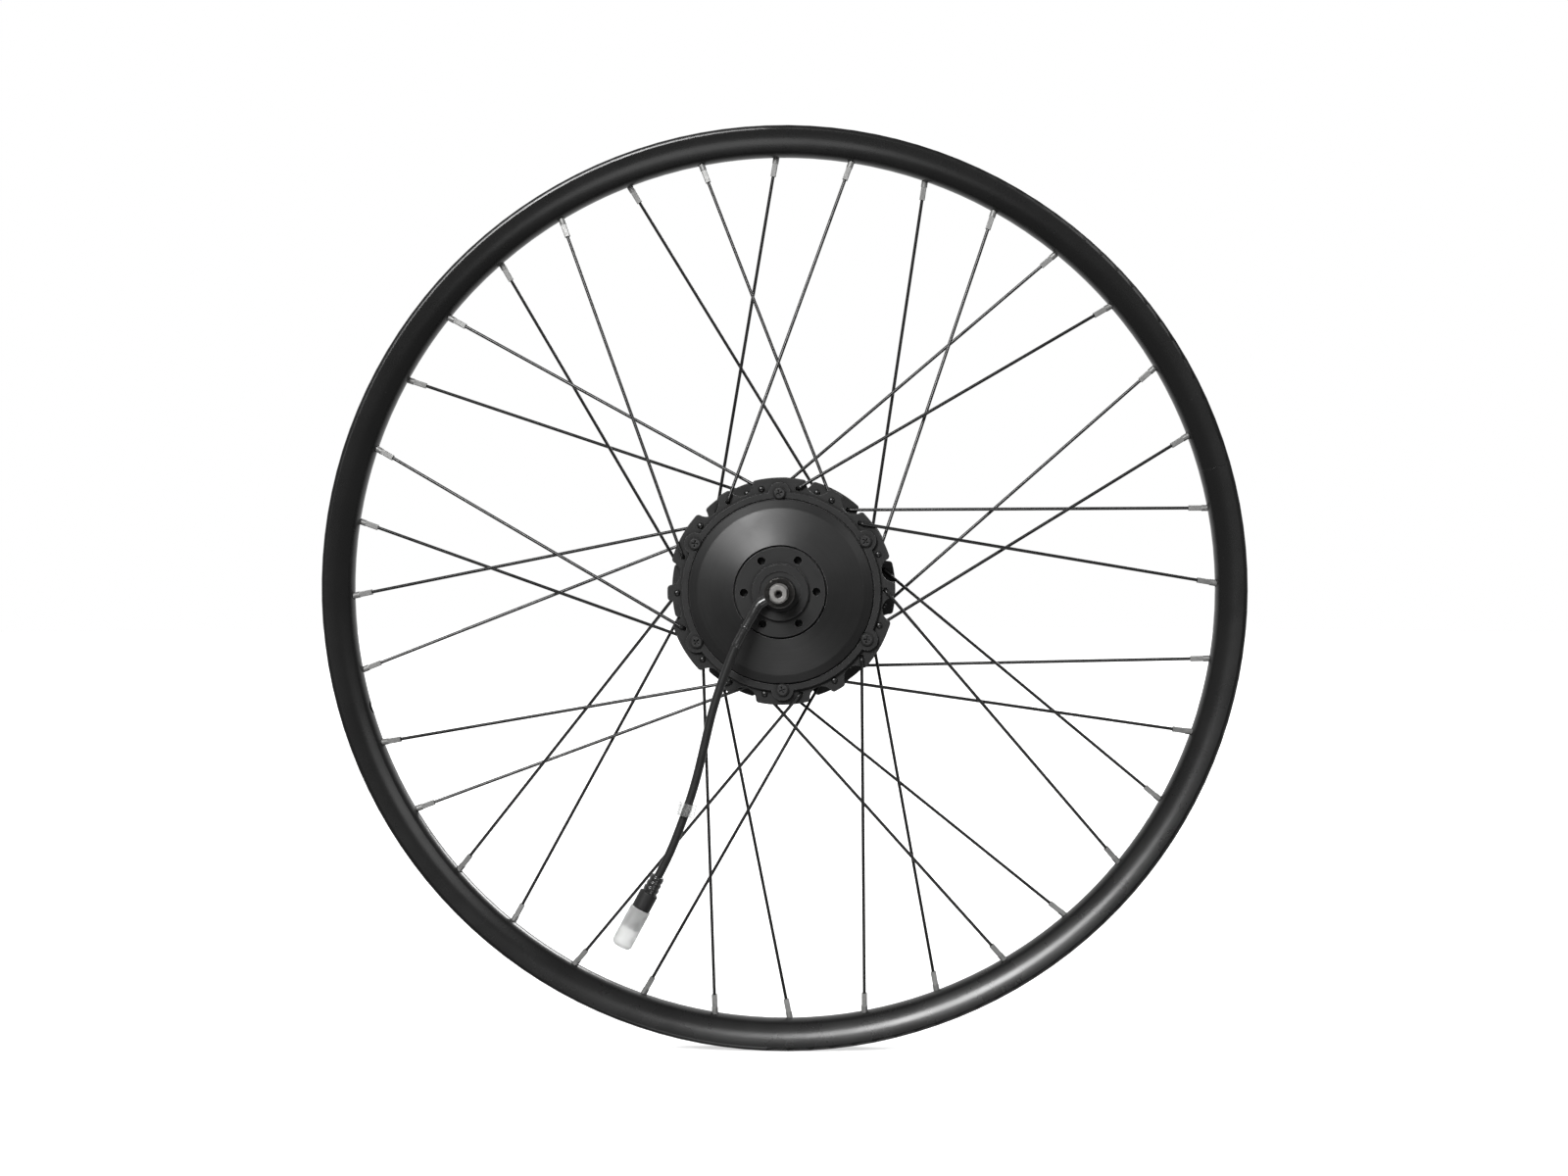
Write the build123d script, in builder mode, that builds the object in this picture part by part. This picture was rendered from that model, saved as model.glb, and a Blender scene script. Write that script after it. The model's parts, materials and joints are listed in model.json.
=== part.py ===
from build123d import *
import math
import os

# Rear wheel of an electric bicycle, built round a geared hub motor.
# Frame: +Y runs along the axle from the cable and disc-brake side to the freewheel side,
# +Z is up, and the origin is on the axle, midway between the two dropout faces.
# Angles about the axle are seen from the cable side, anticlockwise from +X.

os.makedirs("parts", exist_ok=True)

# ---------------------------------------------------------------- driving dimensions, mm
WHEEL_PHASE = 0.9            # degrees that the whole wheel stands turned on its axle

# rim for a 559 mm bead seat
RIM_OUTER_R = 286.0
BEAD_SEAT_R = 279.5
RIM_HALF_WIDTH = 13.0
SIDE_START_R = 270.2         # where the flank leaves the spoke bed's rounding
SIDE_CREST_R = 283.5         # where the flank is widest
SIDE_ARC_R = 19.0
SIDE_WALL = 2.0
SPOKE_BED_R = 266.8          # inner surface of the rim, at its middle
BED_THICKNESS = 2.0
NIPPLE_HOLE_R = 2.4
ACCESS_HOLE_R = 4.2
VALVE_HOLE_R = 4.25
VALVE_ANGLE = 196.0 - WHEEL_PHASE

# spokes and nipples
SPOKE_R = 1.0
SPOKES_PER_GROUP = 9
CROSSING_ANGLE = 40.0        # hub hole to rim hole, seen along the axle
SPOKE_HOLE_R = 1.45
SPOKE_CIRCLE_R = 63.5        # spoke holes in both flanges
SPOKE_BEND_R = 2.2
HEAD_R = 1.9
RIM_HOLE_STAGGER = 2.0       # rim holes lean towards the flange that they serve
NIPPLE_LENGTH = 12.5         # what stands out of the rim
NIPPLE_SQUARE = 3.3
NIPPLE_ROUND_R = 1.95
NIPPLE_BORE_R = 1.05
NIPPLE_HEAD_R = 2.7
NIPPLE_SEAT = 2.8            # from the middle of the bed to the head's seat

# hub shell
FLANGE_R = 69.5
FLANGE_THICKNESS = 3.6
FLANGE_CHAMFER = 0.4
LEFT_FLANGE_Y = -34.2        # middle of the plate
RIGHT_FLANGE_Y = 8.5
SCALLOP_R = 7.5
SCALLOP_BOTTOM_R = 62.6
SCALLOP_OFFSET = 20.0        # degrees either side of a wide lobe
DRUM_R = 58.5
DRUM_BORE_R = 54.5
RING_SEAT_R = 49.55
THREAD_R = 17.46             # freewheel thread, 1.375 in across its crests
THREAD_START_Y = 28.0
THREAD_END_Y = 38.5

# cover on the disc-brake side
COVER_R = 61.0
COVER_FACE_Y = LEFT_FLANGE_Y - FLANGE_THICKNESS / 2
COVER_PLATE = 3.2
DISH_EDGE_R = 50.5           # where the dished face turns down into a steeper band
DISH_BAND_R = 56.1           # outside of that band, where a groove runs round it
EAR_R = 6.6
SCREW_CIRCLE_R = 60.0
SCREW_R = 2.0
SCREW_HEAD_R = 3.9
DISC_FACE_Y = -52.2
DISC_BOSS_R = 27.5
BOSS_GROOVE_DEPTH = 3.2
DISC_BOLT_CIRCLE_R = 22.0
DISC_BOLT_R = 2.5
SPIGOT_R = 17.5
SPIGOT_END_Y = -55.2

# axle
AXLE_R = 7.5
AXLE_THREAD_R = 6.0
AXLE_SHOULDER_Y = 64.0
DROPOUT_Y = 67.5
AXLE_END_Y = 83.0
FLAT_HALF_WIDTH = 5.0
SPACER_R = 9.4
GROOVE_ANGLE = 208.0         # where the cable lies in the axle
GROOVE_WIDTH = 5.8
LEAD_R = 2.6
LEAD_OFFSET = 4.75           # leads' centre from the axle's centre

# wheel and rotor bearings, 15 x 28 x 7
BEARING_R = 14.0
BEARING_WIDTH = 7.0
LEFT_BEARING_Y = -52.8       # outer end of each bearing's width
RIGHT_BEARING_Y = 17.0
ROTOR_BEARING_Y = -11.5
RACE_R = 10.75
BALL_R = 2.0
BALL_CLEARANCE = 0.08
BALL_COUNT = 9

# motor
STATOR_Y = -22.0             # middle of the stack
STACK_LENGTH = 20.0
STATOR_R = 41.5
STATOR_BORE_R = 20.0
SLOT_COUNT = 18
TOOTH_WIDTH = 4.6
MAGNET_COUNT = 20
MAGNET_INNER_R = 42.1
MAGNET_OUTER_R = 45.4
CAN_R = 48.6

# planetary gears: the sun drives three planets that drive the ring in the hub shell
MODULE = 1.25
SUN_TEETH = 18
PLANET_TEETH = 27
RING_TEETH = SUN_TEETH + 2 * PLANET_TEETH
PRESSURE_ANGLE = 20.0
BACKLASH = 0.14              # taken off the thickness of every tooth
PLANET_ANGLES = (90.0, 210.0, 330.0)
PLANET_CIRCLE_R = MODULE * (SUN_TEETH + PLANET_TEETH) / 2
GEAR_START_Y = -1.0
GEAR_END_Y = 9.0
PIN_R = 3.0
CARRIER_START_Y = 10.3
CARRIER_END_Y = 14.7
CARRIER_BORE_R = 14.9
ROLLER_R = 1.8
ROLLER_COUNT = 8

# motor cable, from its elbow at the axle to its plug
CABLE_R = 2.65
CABLE_Y = -61.5
ELBOW_R = 3.35
BOOT_R = 3.2
SLEEVE_R = 2.95
ELBOW_ROUTE = [
    (-6.9, CABLE_Y, -3.7),
    (-12.5, CABLE_Y, -6.9),
    (-14.9, CABLE_Y, -11.1),
]
BOOT_END = (-21.2, CABLE_Y, -22.2)
SLEEVE_END = (-26.7, CABLE_Y, -32.7)
CABLE_ROUTE = [
    SLEEVE_END,
    (-32.0, CABLE_Y, -45.6),
    (-40.3, CABLE_Y, -69.8),
    (-46.0, CABLE_Y, -95.0),
    (-51.6, CABLE_Y, -118.0),
    (-60.2, CABLE_Y, -142.5),
    (-67.8, CABLE_Y, -161.2),
    (-73.4, CABLE_Y, -171.6),
]
PLUG_RELIEF_LENGTH = 11.5
PLUG_RELIEF_R = 3.5
RIB_R = 4.3                  # first of three ribs, which grow towards the shell
RIB_GROWTH = 0.25
RIB_WIDTH = 2.1
RIB_PITCH = 3.3
PLUG_SHELL_R = 5.75
PLUG_SHELL_LENGTH = 11.0
PLUG_NOSE_R = 5.45
PLUG_NOSE_LENGTH = 13.3
SOCKET_R = 4.2
SOCKET_FLOOR = 3.0
PIN_R = 0.5
PIN_LENGTH = 8.0
CAP_R = 6.4
CAP_WALL = 0.8
CAP_LENGTH = 26.0
CAP_END_WALL = 1.2
CAP_GAP = 0.2                # between the shell and the cap's mouth
TIE_RING_R = 5.6
TIE_RING_LENGTH = 7.6
TIE_RING_WALL = 1.5
TIE_RING_PLACE = 14.3        # its middle, past the cable's fifth point
TIE_RING_TILT = 13.0         # degrees that its axis leans from plumb


# ---------------------------------------------------------------- shared geometry
def station(y):
    """Plane square to the axle at y: its axes are X and Z, and its normal is -Y."""
    return Plane.XZ.offset(-y)


def on_circle(radius, degrees, y=0.0):
    """Point at a radius and angle about the axle."""
    angle = math.radians(degrees)
    return Vector(radius * math.cos(angle), y, radius * math.sin(angle))


def radial_plane(radius, degrees, y=0.0):
    """Plane at a point on a circle about the axle, facing outwards, with its x along the axle."""
    return Plane(origin=on_circle(radius, degrees, y), x_dir=(0, 1, 0), z_dir=on_circle(1, degrees))


def plane_along(start, end):
    """Plane at start that faces end."""
    origin = Vector(*start)
    return Plane(origin=origin, x_dir=(0, 1, 0), z_dir=Vector(*end) - origin)


def turned(profile):
    """Solid turned about the axle from a closed outline of (radius, y) points."""
    with BuildPart() as piece:
        with BuildSketch(Plane.XY):
            with BuildLine():
                Polyline(*profile, close=True)
            make_face()
        revolve(axis=Axis.Y)
    return piece


def ring(inner_r, outer_r, y_start, y_end, chamfer_by=0.0):
    """Plain ring about the axle, with its outer corners broken by chamfer_by."""
    c = chamfer_by
    return turned([
        (inner_r, y_start),
        (outer_r - c, y_start),
        (outer_r, y_start + c),
        (outer_r, y_end - c),
        (outer_r - c, y_end),
        (inner_r, y_end),
    ] if c else [(inner_r, y_start), (outer_r, y_start), (outer_r, y_end), (inner_r, y_end)])


# ---------------------------------------------------------------- rim
def rim_side(radius, wall=0.0):
    """Point of the rim's rounded flank, which is widest at its crest, or of the wall's inside."""
    arc_r = SIDE_ARC_R - wall
    return radius, RIM_HALF_WIDTH - SIDE_ARC_R + math.sqrt(arc_r**2 - (SIDE_CREST_R - radius) ** 2)


with BuildPart() as rim:
    with BuildSketch(Plane.XY):
        with BuildLine():
            ThreePointArc((SPOKE_BED_R, 0), (SPOKE_BED_R + 0.8, 4.2), rim_side(SIDE_START_R))
            ThreePointArc(rim_side(SIDE_START_R), rim_side(277), rim_side(SIDE_CREST_R))
            ThreePointArc(rim_side(SIDE_CREST_R), (284.9, 12.62), (RIM_OUTER_R, 11.4))
            Polyline(
                (RIM_OUTER_R, 11.4),
                (285.3, 10.3),
                (283.4, 10.6),
                (282.6, 11.3),
                (BEAD_SEAT_R, 11.3),
                (BEAD_SEAT_R - 0.2, 8.0),
                (BEAD_SEAT_R - 2.9, 5.6),
                (BEAD_SEAT_R - 3.3, 0),
                (SPOKE_BED_R, 0),
            )
        make_face()
        # closed chamber between the spoke bed and the tyre well
        with BuildLine():
            ThreePointArc(
                (SPOKE_BED_R + BED_THICKNESS, 0),
                (SPOKE_BED_R + BED_THICKNESS + 0.65, 3.6),
                rim_side(271.6, SIDE_WALL),
            )
            ThreePointArc(
                rim_side(271.6, SIDE_WALL),
                rim_side(274.6, SIDE_WALL),
                rim_side(277.6, SIDE_WALL),
            )
            Polyline(
                rim_side(277.6, SIDE_WALL),
                (274.9, 5.4),
                (274.7, 0),
                (SPOKE_BED_R + BED_THICKNESS, 0),
            )
        make_face(mode=Mode.SUBTRACT)
        mirror(about=Plane.XZ)
    revolve(axis=Axis.Y)
    rim_holes = [
        radial_plane(SPOKE_BED_R - 2, 10 * k + WHEEL_PHASE, RIM_HOLE_STAGGER * (1 if k % 2 else -1))
        for k in range(36)
    ]
    with BuildSketch(*rim_holes):
        Circle(NIPPLE_HOLE_R)
    extrude(amount=6, mode=Mode.SUBTRACT)
    with BuildSketch(*[hole.offset(6) for hole in rim_holes]):
        Circle(ACCESS_HOLE_R)
    extrude(amount=8, mode=Mode.SUBTRACT)
    with BuildSketch(radial_plane(SPOKE_BED_R - 2, VALVE_ANGLE + WHEEL_PHASE)):
        Circle(VALVE_HOLE_R)
    extrude(amount=14, mode=Mode.SUBTRACT)
rim.part.label = "rim"
export_step(rim.part, "parts/rim.step")


# ---------------------------------------------------------------- spokes and nipples
def spoke_course(hub_angle, lean, flange_y, leaves, clear):
    """Head, bend and rim-hole points of one spoke.

    lean is +1 or -1, the way that it slants about the axle; leaves is +1 or -1, the side of
    the flange that it runs away on, standing clear of the plate's middle by clear.
    """
    hub_degrees = hub_angle + WHEEL_PHASE
    rim_degrees = hub_degrees + lean * CROSSING_ANGLE
    stagger = math.copysign(RIM_HOLE_STAGGER, flange_y)
    head = on_circle(SPOKE_CIRCLE_R, hub_degrees, flange_y - leaves * FLANGE_THICKNESS / 2)
    bend = on_circle(SPOKE_CIRCLE_R, hub_degrees, flange_y + leaves * clear)
    rim_hole = on_circle(SPOKE_BED_R + BED_THICKNESS / 2, rim_degrees, stagger)
    return head, bend, rim_hole


def spoke_group(first_angle, lean, flange_y, leaves, clear):
    """The nine spokes that leave one side of one flange."""
    courses = [
        spoke_course(first_angle + 40 * k, lean, flange_y, leaves, clear)
        for k in range(SPOKES_PER_GROUP)
    ]
    head_y = flange_y - leaves * FLANGE_THICKNESS / 2
    with BuildPart() as group:
        for head, bend, rim_hole in courses:
            tip = rim_hole - (rim_hole - bend).normalized() * 3
            with BuildLine():
                FilletPolyline(head, bend, tip, radius=SPOKE_BEND_R)
            with BuildSketch(station(head_y)):
                with Locations((head.X, head.Z)):
                    Circle(SPOKE_R)
            sweep()
        # each head is a low dome, drawn as a disc under a cone
        with BuildSketch(station(head_y)):
            with Locations(*[(head.X, head.Z) for head, _, _ in courses]):
                Circle(HEAD_R)
        extrude(amount=leaves * 0.7)
        with BuildSketch(station(head_y - leaves * 0.7)):
            with Locations(*[(head.X, head.Z) for head, _, _ in courses]):
                Circle(HEAD_R)
        extrude(amount=leaves * 0.7, taper=45)
    return group, courses


OUTER_CLEAR = 4.4
INNER_CLEAR = 3.0
spoke_groups = {
    "spokes_left_outer": (0, -1, LEFT_FLANGE_Y, -1, OUTER_CLEAR),
    "spokes_left_inner": (20, 1, LEFT_FLANGE_Y, 1, INNER_CLEAR),
    "spokes_right_inner": (10, -1, RIGHT_FLANGE_Y, -1, INNER_CLEAR),
    "spokes_right_outer": (30, 1, RIGHT_FLANGE_Y, 1, OUTER_CLEAR),
}
all_courses = []
for label, settings in spoke_groups.items():
    spokes, group_courses = spoke_group(*settings)
    all_courses += group_courses
    spokes.part.label = label
    export_step(spokes.part, f"parts/{label}.step")

nipple_ends = [
    plane_along(rim_hole - (rim_hole - bend).normalized() * NIPPLE_LENGTH, rim_hole)
    for _, bend, rim_hole in all_courses
]
with BuildPart() as spoke_nipples:
    with BuildSketch(*nipple_ends):
        RectangleRounded(NIPPLE_SQUARE, NIPPLE_SQUARE, 0.5)
    extrude(amount=8)
    with BuildSketch(*[end.offset(8) for end in nipple_ends]):
        Circle(NIPPLE_ROUND_R)
    extrude(amount=NIPPLE_LENGTH + NIPPLE_SEAT - 8)
    with BuildSketch(*[end.offset(NIPPLE_LENGTH + NIPPLE_SEAT) for end in nipple_ends]):
        Circle(NIPPLE_HEAD_R)
    extrude(amount=1.5)
    with BuildSketch(*nipple_ends):
        Circle(NIPPLE_BORE_R)
    extrude(amount=NIPPLE_LENGTH - 2, mode=Mode.SUBTRACT)
spoke_nipples.part.label = "spoke_nipples"
export_step(spoke_nipples.part, "parts/spoke_nipples.step")


# ---------------------------------------------------------------- hub shell
def spoke_flange(flange_y, lobe_angle):
    """One flange: wide lobes at lobe_angle + 60k, narrow ones between, scallops in between."""
    with BuildPart() as flange:
        with BuildSketch(station(flange_y + FLANGE_THICKNESS / 2)) as plate:
            Circle(FLANGE_R)
            for side in (-SCALLOP_OFFSET, SCALLOP_OFFSET):
                with PolarLocations(SCALLOP_BOTTOM_R + SCALLOP_R, 6, start_angle=lobe_angle + side):
                    Circle(SCALLOP_R, mode=Mode.SUBTRACT)
            fillet(plate.vertices(), 2.2)
        extrude(amount=FLANGE_THICKNESS)
        for face in flange.faces().filter_by(Axis.Y):
            chamfer(face.outer_wire().edges(), FLANGE_CHAMFER)
        with BuildSketch(station(flange_y + FLANGE_THICKNESS / 2)):
            Circle(DRUM_R - 1)
            with PolarLocations(SPOKE_CIRCLE_R, 18, start_angle=lobe_angle + 10):
                Circle(SPOKE_HOLE_R)
        extrude(amount=FLANGE_THICKNESS, mode=Mode.SUBTRACT)
    return flange


# the two flanges stand half a lobe from each other
left_flange = spoke_flange(LEFT_FLANGE_Y, 30 + WHEEL_PHASE)
right_flange = spoke_flange(RIGHT_FLANGE_Y, WHEEL_PHASE)

with BuildPart() as hub_shell:
    # drum, right-hand wall and freewheel boss
    with BuildSketch(Plane.XY):
        with BuildLine():
            Polyline(
                (DRUM_BORE_R, COVER_FACE_Y),
                (DRUM_R, COVER_FACE_Y),
                (DRUM_R, 11.5),
                (54.0, 15.0),
                (31.0, 19.6),
                (25.5, 21.0),
                (24.5, THREAD_START_Y - 0.5),
                (24.0, THREAD_START_Y),
                (THREAD_R, THREAD_START_Y),
                (THREAD_R, THREAD_END_Y - 1),
                (THREAD_R - 1, THREAD_END_Y),
                (12.6, THREAD_END_Y),
                (12.6, THREAD_END_Y - 3.5),
                (11.0, THREAD_END_Y - 3.5),
                (11.0, RIGHT_BEARING_Y + BEARING_WIDTH),
                (BEARING_R, RIGHT_BEARING_Y + BEARING_WIDTH),
                (BEARING_R, 15.5),
                (38.0, 15.5),
                (46.8, 12.0),
                (46.8, GEAR_END_Y),
                (RING_SEAT_R, GEAR_END_Y),
                (RING_SEAT_R, -2.0),
                (DRUM_BORE_R, -4.0),
                close=True,
            )
        make_face()
    revolve(axis=Axis.Y)
    add(left_flange.part)
    add(right_flange.part)
    # tapped bosses behind the left flange take the cover screws
    with BuildSketch(station(COVER_FACE_Y + 13)):
        with PolarLocations(SCREW_CIRCLE_R, 6, start_angle=30 + WHEEL_PHASE):
            Circle(5)
        Circle(DRUM_R - 1, mode=Mode.SUBTRACT)
    extrude(amount=13)
    with BuildSketch(station(COVER_FACE_Y + 11)):
        with PolarLocations(SCREW_CIRCLE_R, 6, start_angle=30 + WHEEL_PHASE):
            Circle(SCREW_R + 0.05)
    extrude(amount=11, mode=Mode.SUBTRACT)
hub_shell.part.label = "hub_shell"
export_step(hub_shell.part, "parts/hub_shell.step")


# ---------------------------------------------------------------- side cover and its fasteners
with BuildPart() as side_cover:
    with BuildSketch(Plane.XY):
        with BuildLine():
            Polyline(
                (SPIGOT_R, DISC_FACE_Y),
                (DISC_BOSS_R - 0.4, DISC_FACE_Y),
                (DISC_BOSS_R, DISC_FACE_Y + 0.4),
                (DISC_BOSS_R, DISC_FACE_Y + BOSS_GROOVE_DEPTH),
                (28.6, DISC_FACE_Y + BOSS_GROOVE_DEPTH),
                (28.6, DISC_FACE_Y + 1.5),
                (DISH_EDGE_R, -43.4),
                (DISH_EDGE_R + 0.5, -43.2),
                (DISH_BAND_R - 0.4, -40.8),
                (DISH_BAND_R, -40.3),
                (DISH_BAND_R, -38.4),
                (DISH_BAND_R + 0.9, -38.4),
                (DISH_BAND_R + 0.9, COVER_FACE_Y - COVER_PLATE),
                (COVER_R - 0.6, COVER_FACE_Y - COVER_PLATE),
                (COVER_R, COVER_FACE_Y - COVER_PLATE + 0.6),
                (COVER_R, COVER_FACE_Y),
                (DRUM_BORE_R - 0.2, COVER_FACE_Y),
                (DRUM_BORE_R - 0.2, COVER_FACE_Y + 0.6),
                (53.1, COVER_FACE_Y + 0.6),
                (53.1, COVER_FACE_Y + 2.0),
                (DRUM_BORE_R - 0.2, COVER_FACE_Y + 2.0),
                (DRUM_BORE_R - 0.2, COVER_FACE_Y + 2.8),
                (51.5, COVER_FACE_Y + 2.8),
                (51.3, -37.0),
                (49.0, -40.2),
                (30.0, -46.3),
                (27.0, -44.0),
                (BEARING_R, -44.0),
                (BEARING_R, LEFT_BEARING_Y),
                (12.6, LEFT_BEARING_Y),
                (12.6, SPIGOT_END_Y),
                (SPIGOT_R - 0.6, SPIGOT_END_Y),
                (SPIGOT_R, SPIGOT_END_Y + 0.6),
                close=True,
            )
        make_face()
    revolve(axis=Axis.Y)
    # six ears carry the cover screws
    with BuildSketch(station(COVER_FACE_Y)) as ears:
        with PolarLocations(SCREW_CIRCLE_R, 6, start_angle=30 + WHEEL_PHASE):
            Circle(EAR_R)
        Circle(COVER_R - 2, mode=Mode.SUBTRACT)
    extrude(amount=COVER_PLATE)
    with BuildSketch(station(COVER_FACE_Y)):
        with PolarLocations(SCREW_CIRCLE_R, 6, start_angle=30 + WHEEL_PHASE):
            Circle(SCREW_R + 0.3)
    extrude(amount=COVER_PLATE, mode=Mode.SUBTRACT)
    # seats that let the screw heads into the edge of the dished face
    with BuildSketch(station(COVER_FACE_Y - COVER_PLATE)):
        with PolarLocations(SCREW_CIRCLE_R, 6, start_angle=30 + WHEEL_PHASE):
            Circle(SCREW_HEAD_R + 0.3)
    extrude(amount=6, mode=Mode.SUBTRACT)
    # tapped holes for the brake disc
    with BuildSketch(station(DISC_FACE_Y)):
        with PolarLocations(DISC_BOLT_CIRCLE_R, 6, start_angle=WHEEL_PHASE):
            Circle(DISC_BOLT_R)
    extrude(amount=-7, mode=Mode.SUBTRACT)
side_cover.part.label = "side_cover"
export_step(side_cover.part, "parts/side_cover.step")

with BuildPart() as cover_screws:
    head_plane = station(COVER_FACE_Y - COVER_PLATE)
    with BuildSketch(head_plane):
        with PolarLocations(SCREW_CIRCLE_R, 6, start_angle=30 + WHEEL_PHASE):
            Circle(SCREW_HEAD_R)
    extrude(amount=1.2)
    with BuildSketch(head_plane.offset(1.2)):
        with PolarLocations(SCREW_CIRCLE_R, 6, start_angle=30 + WHEEL_PHASE):
            Circle(SCREW_HEAD_R)
    extrude(amount=0.8, taper=50)
    with BuildSketch(head_plane):
        with PolarLocations(SCREW_CIRCLE_R, 6, start_angle=30 + WHEEL_PHASE):
            Circle(SCREW_R)
    extrude(amount=-13)
    # cross recess
    with BuildSketch(head_plane.offset(0.7)):
        with PolarLocations(SCREW_CIRCLE_R, 6, start_angle=30 + WHEEL_PHASE):
            Rectangle(4.2, 0.9, rotation=20)
            Rectangle(0.9, 4.2, rotation=20)
    extrude(amount=2, mode=Mode.SUBTRACT)
cover_screws.part.label = "cover_screws"
export_step(cover_screws.part, "parts/cover_screws.step")

with BuildPart() as cover_seal:
    with BuildSketch(Plane.XY):
        with Locations((53.8, COVER_FACE_Y + 1.3)):
            Circle(0.62)
    revolve(axis=Axis.Y)
cover_seal.part.label = "cover_seal"
export_step(cover_seal.part, "parts/cover_seal.step")


# ---------------------------------------------------------------- axle and spacers
with BuildPart() as axle:
    with BuildSketch(Plane.XY):
        with BuildLine():
            Polyline(
                (0, -AXLE_END_Y),
                (AXLE_THREAD_R - 1, -AXLE_END_Y),
                (AXLE_THREAD_R, -AXLE_END_Y + 1),
                (AXLE_THREAD_R, -AXLE_SHOULDER_Y),
                (AXLE_R, -AXLE_SHOULDER_Y),
                (AXLE_R, AXLE_SHOULDER_Y),
                (AXLE_THREAD_R, AXLE_SHOULDER_Y),
                (AXLE_THREAD_R, AXLE_END_Y - 1),
                (AXLE_THREAD_R - 1, AXLE_END_Y),
                (0, AXLE_END_Y),
                close=True,
            )
        make_face()
    revolve(axis=Axis.Y)
    # wrench flats on both threaded ends
    for end_y in (-AXLE_END_Y, DROPOUT_Y):
        with BuildSketch(station(end_y)):
            with Locations((FLAT_HALF_WIDTH + 2, 0), (-FLAT_HALF_WIDTH - 2, 0)):
                Rectangle(4, 14)
        extrude(amount=-(AXLE_END_Y - DROPOUT_Y), mode=Mode.SUBTRACT)
    # lathe centres
    with BuildSketch(Plane.XY):
        with BuildLine():
            Polyline((0, -AXLE_END_Y), (2.6, -AXLE_END_Y), (1.2, -AXLE_END_Y + 2.2),
                     (1.2, -AXLE_END_Y + 5), (0, -AXLE_END_Y + 5), close=True)
            Polyline((0, AXLE_END_Y), (2.6, AXLE_END_Y), (1.2, AXLE_END_Y - 2.2),
                     (1.2, AXLE_END_Y - 5), (0, AXLE_END_Y - 5), close=True)
        make_face()
    revolve(axis=Axis.Y, mode=Mode.SUBTRACT)
    # groove that takes the leads under the left bearing to the stator
    with BuildSketch(Plane.XZ.offset(65) * Rotation(0, 0, GROOVE_ANGLE)):
        with Locations((LEAD_OFFSET + 1.1, 0)):
            Rectangle(7.8, GROOVE_WIDTH)
    extrude(amount=-31, mode=Mode.SUBTRACT)
axle.part.label = "axle"
export_step(axle.part, "parts/axle.step")

SPACER_STEP_BORE_R = AXLE_THREAD_R + 0.03
SPACER_BORE_R = AXLE_R + 0.03
left_spacer_outline = [
    (SPACER_BORE_R, LEFT_BEARING_Y),
    (SPACER_R, LEFT_BEARING_Y),
    (SPACER_R, -DROPOUT_Y + 0.6),
    (SPACER_R - 0.6, -DROPOUT_Y),
    (SPACER_STEP_BORE_R, -DROPOUT_Y),
    (SPACER_STEP_BORE_R, -AXLE_SHOULDER_Y),
    (SPACER_BORE_R, -AXLE_SHOULDER_Y),
]
with BuildPart() as left_spacer:
    add(turned(left_spacer_outline).part)
    # window that the cable leaves by
    with BuildSketch(Plane(origin=(0, CABLE_Y, 0), x_dir=(0, 1, 0), z_dir=on_circle(1, GROOVE_ANGLE))):
        Rectangle(7.2, 7.2)
    extrude(amount=12, mode=Mode.SUBTRACT)
left_spacer.part.label = "left_spacer"
export_step(left_spacer.part, "parts/left_spacer.step")

right_spacer = turned([
    (SPACER_BORE_R, RIGHT_BEARING_Y + BEARING_WIDTH),
    (SPACER_R, RIGHT_BEARING_Y + BEARING_WIDTH),
    (SPACER_R, DROPOUT_Y - 0.6),
    (SPACER_R - 0.6, DROPOUT_Y),
    (SPACER_STEP_BORE_R, DROPOUT_Y),
    (SPACER_STEP_BORE_R, AXLE_SHOULDER_Y),
    (SPACER_BORE_R, AXLE_SHOULDER_Y),
])
right_spacer.part.label = "right_spacer"
export_step(right_spacer.part, "parts/right_spacer.step")


# ---------------------------------------------------------------- bearings and seals
def race_ring(inner_r, outer_r, y_start):
    """Bearing ring with the ball groove cut in it."""
    with BuildPart() as piece:
        with BuildSketch(Plane.XY):
            with Locations(((inner_r + outer_r) / 2, y_start + BEARING_WIDTH / 2)):
                Rectangle(outer_r - inner_r, BEARING_WIDTH)
            with Locations((RACE_R, y_start + BEARING_WIDTH / 2)):
                Circle(BALL_R + BALL_CLEARANCE, mode=Mode.SUBTRACT)
        revolve(axis=Axis.Y)
    return piece


def ball_set(y_start):
    """The balls of one bearing, as separate solids."""
    with BuildPart() as piece:
        with Locations(*[
            on_circle(RACE_R, k * 360 / BALL_COUNT, y_start + BEARING_WIDTH / 2)
            for k in range(BALL_COUNT)
        ]):
            Sphere(BALL_R)
    return piece


bearings = {
    "left_bearing": LEFT_BEARING_Y,
    "right_bearing": RIGHT_BEARING_Y,
    "rotor_bearing": ROTOR_BEARING_Y,
}
for name, y_start in bearings.items():
    bearing_pieces = {
        f"{name}_inner": race_ring(AXLE_R + 0.02, 9.7, y_start),
        f"{name}_outer": race_ring(11.8, BEARING_R - 0.02, y_start),
        f"{name}_balls": ball_set(y_start),
    }
    for label, piece in bearing_pieces.items():
        piece.part.label = label
        export_step(piece.part, f"parts/{label}.step")

left_lip_seal = turned([
    (SPACER_R + 0.1, -54.4),
    (12.55, -54.4),
    (12.55, LEFT_BEARING_Y - 0.1),
    (11.6, LEFT_BEARING_Y - 0.1),
    (11.6, -53.6),
    (SPACER_R + 0.1, -53.8),
])
left_lip_seal.part.label = "left_lip_seal"
export_step(left_lip_seal.part, "parts/left_lip_seal.step")

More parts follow.
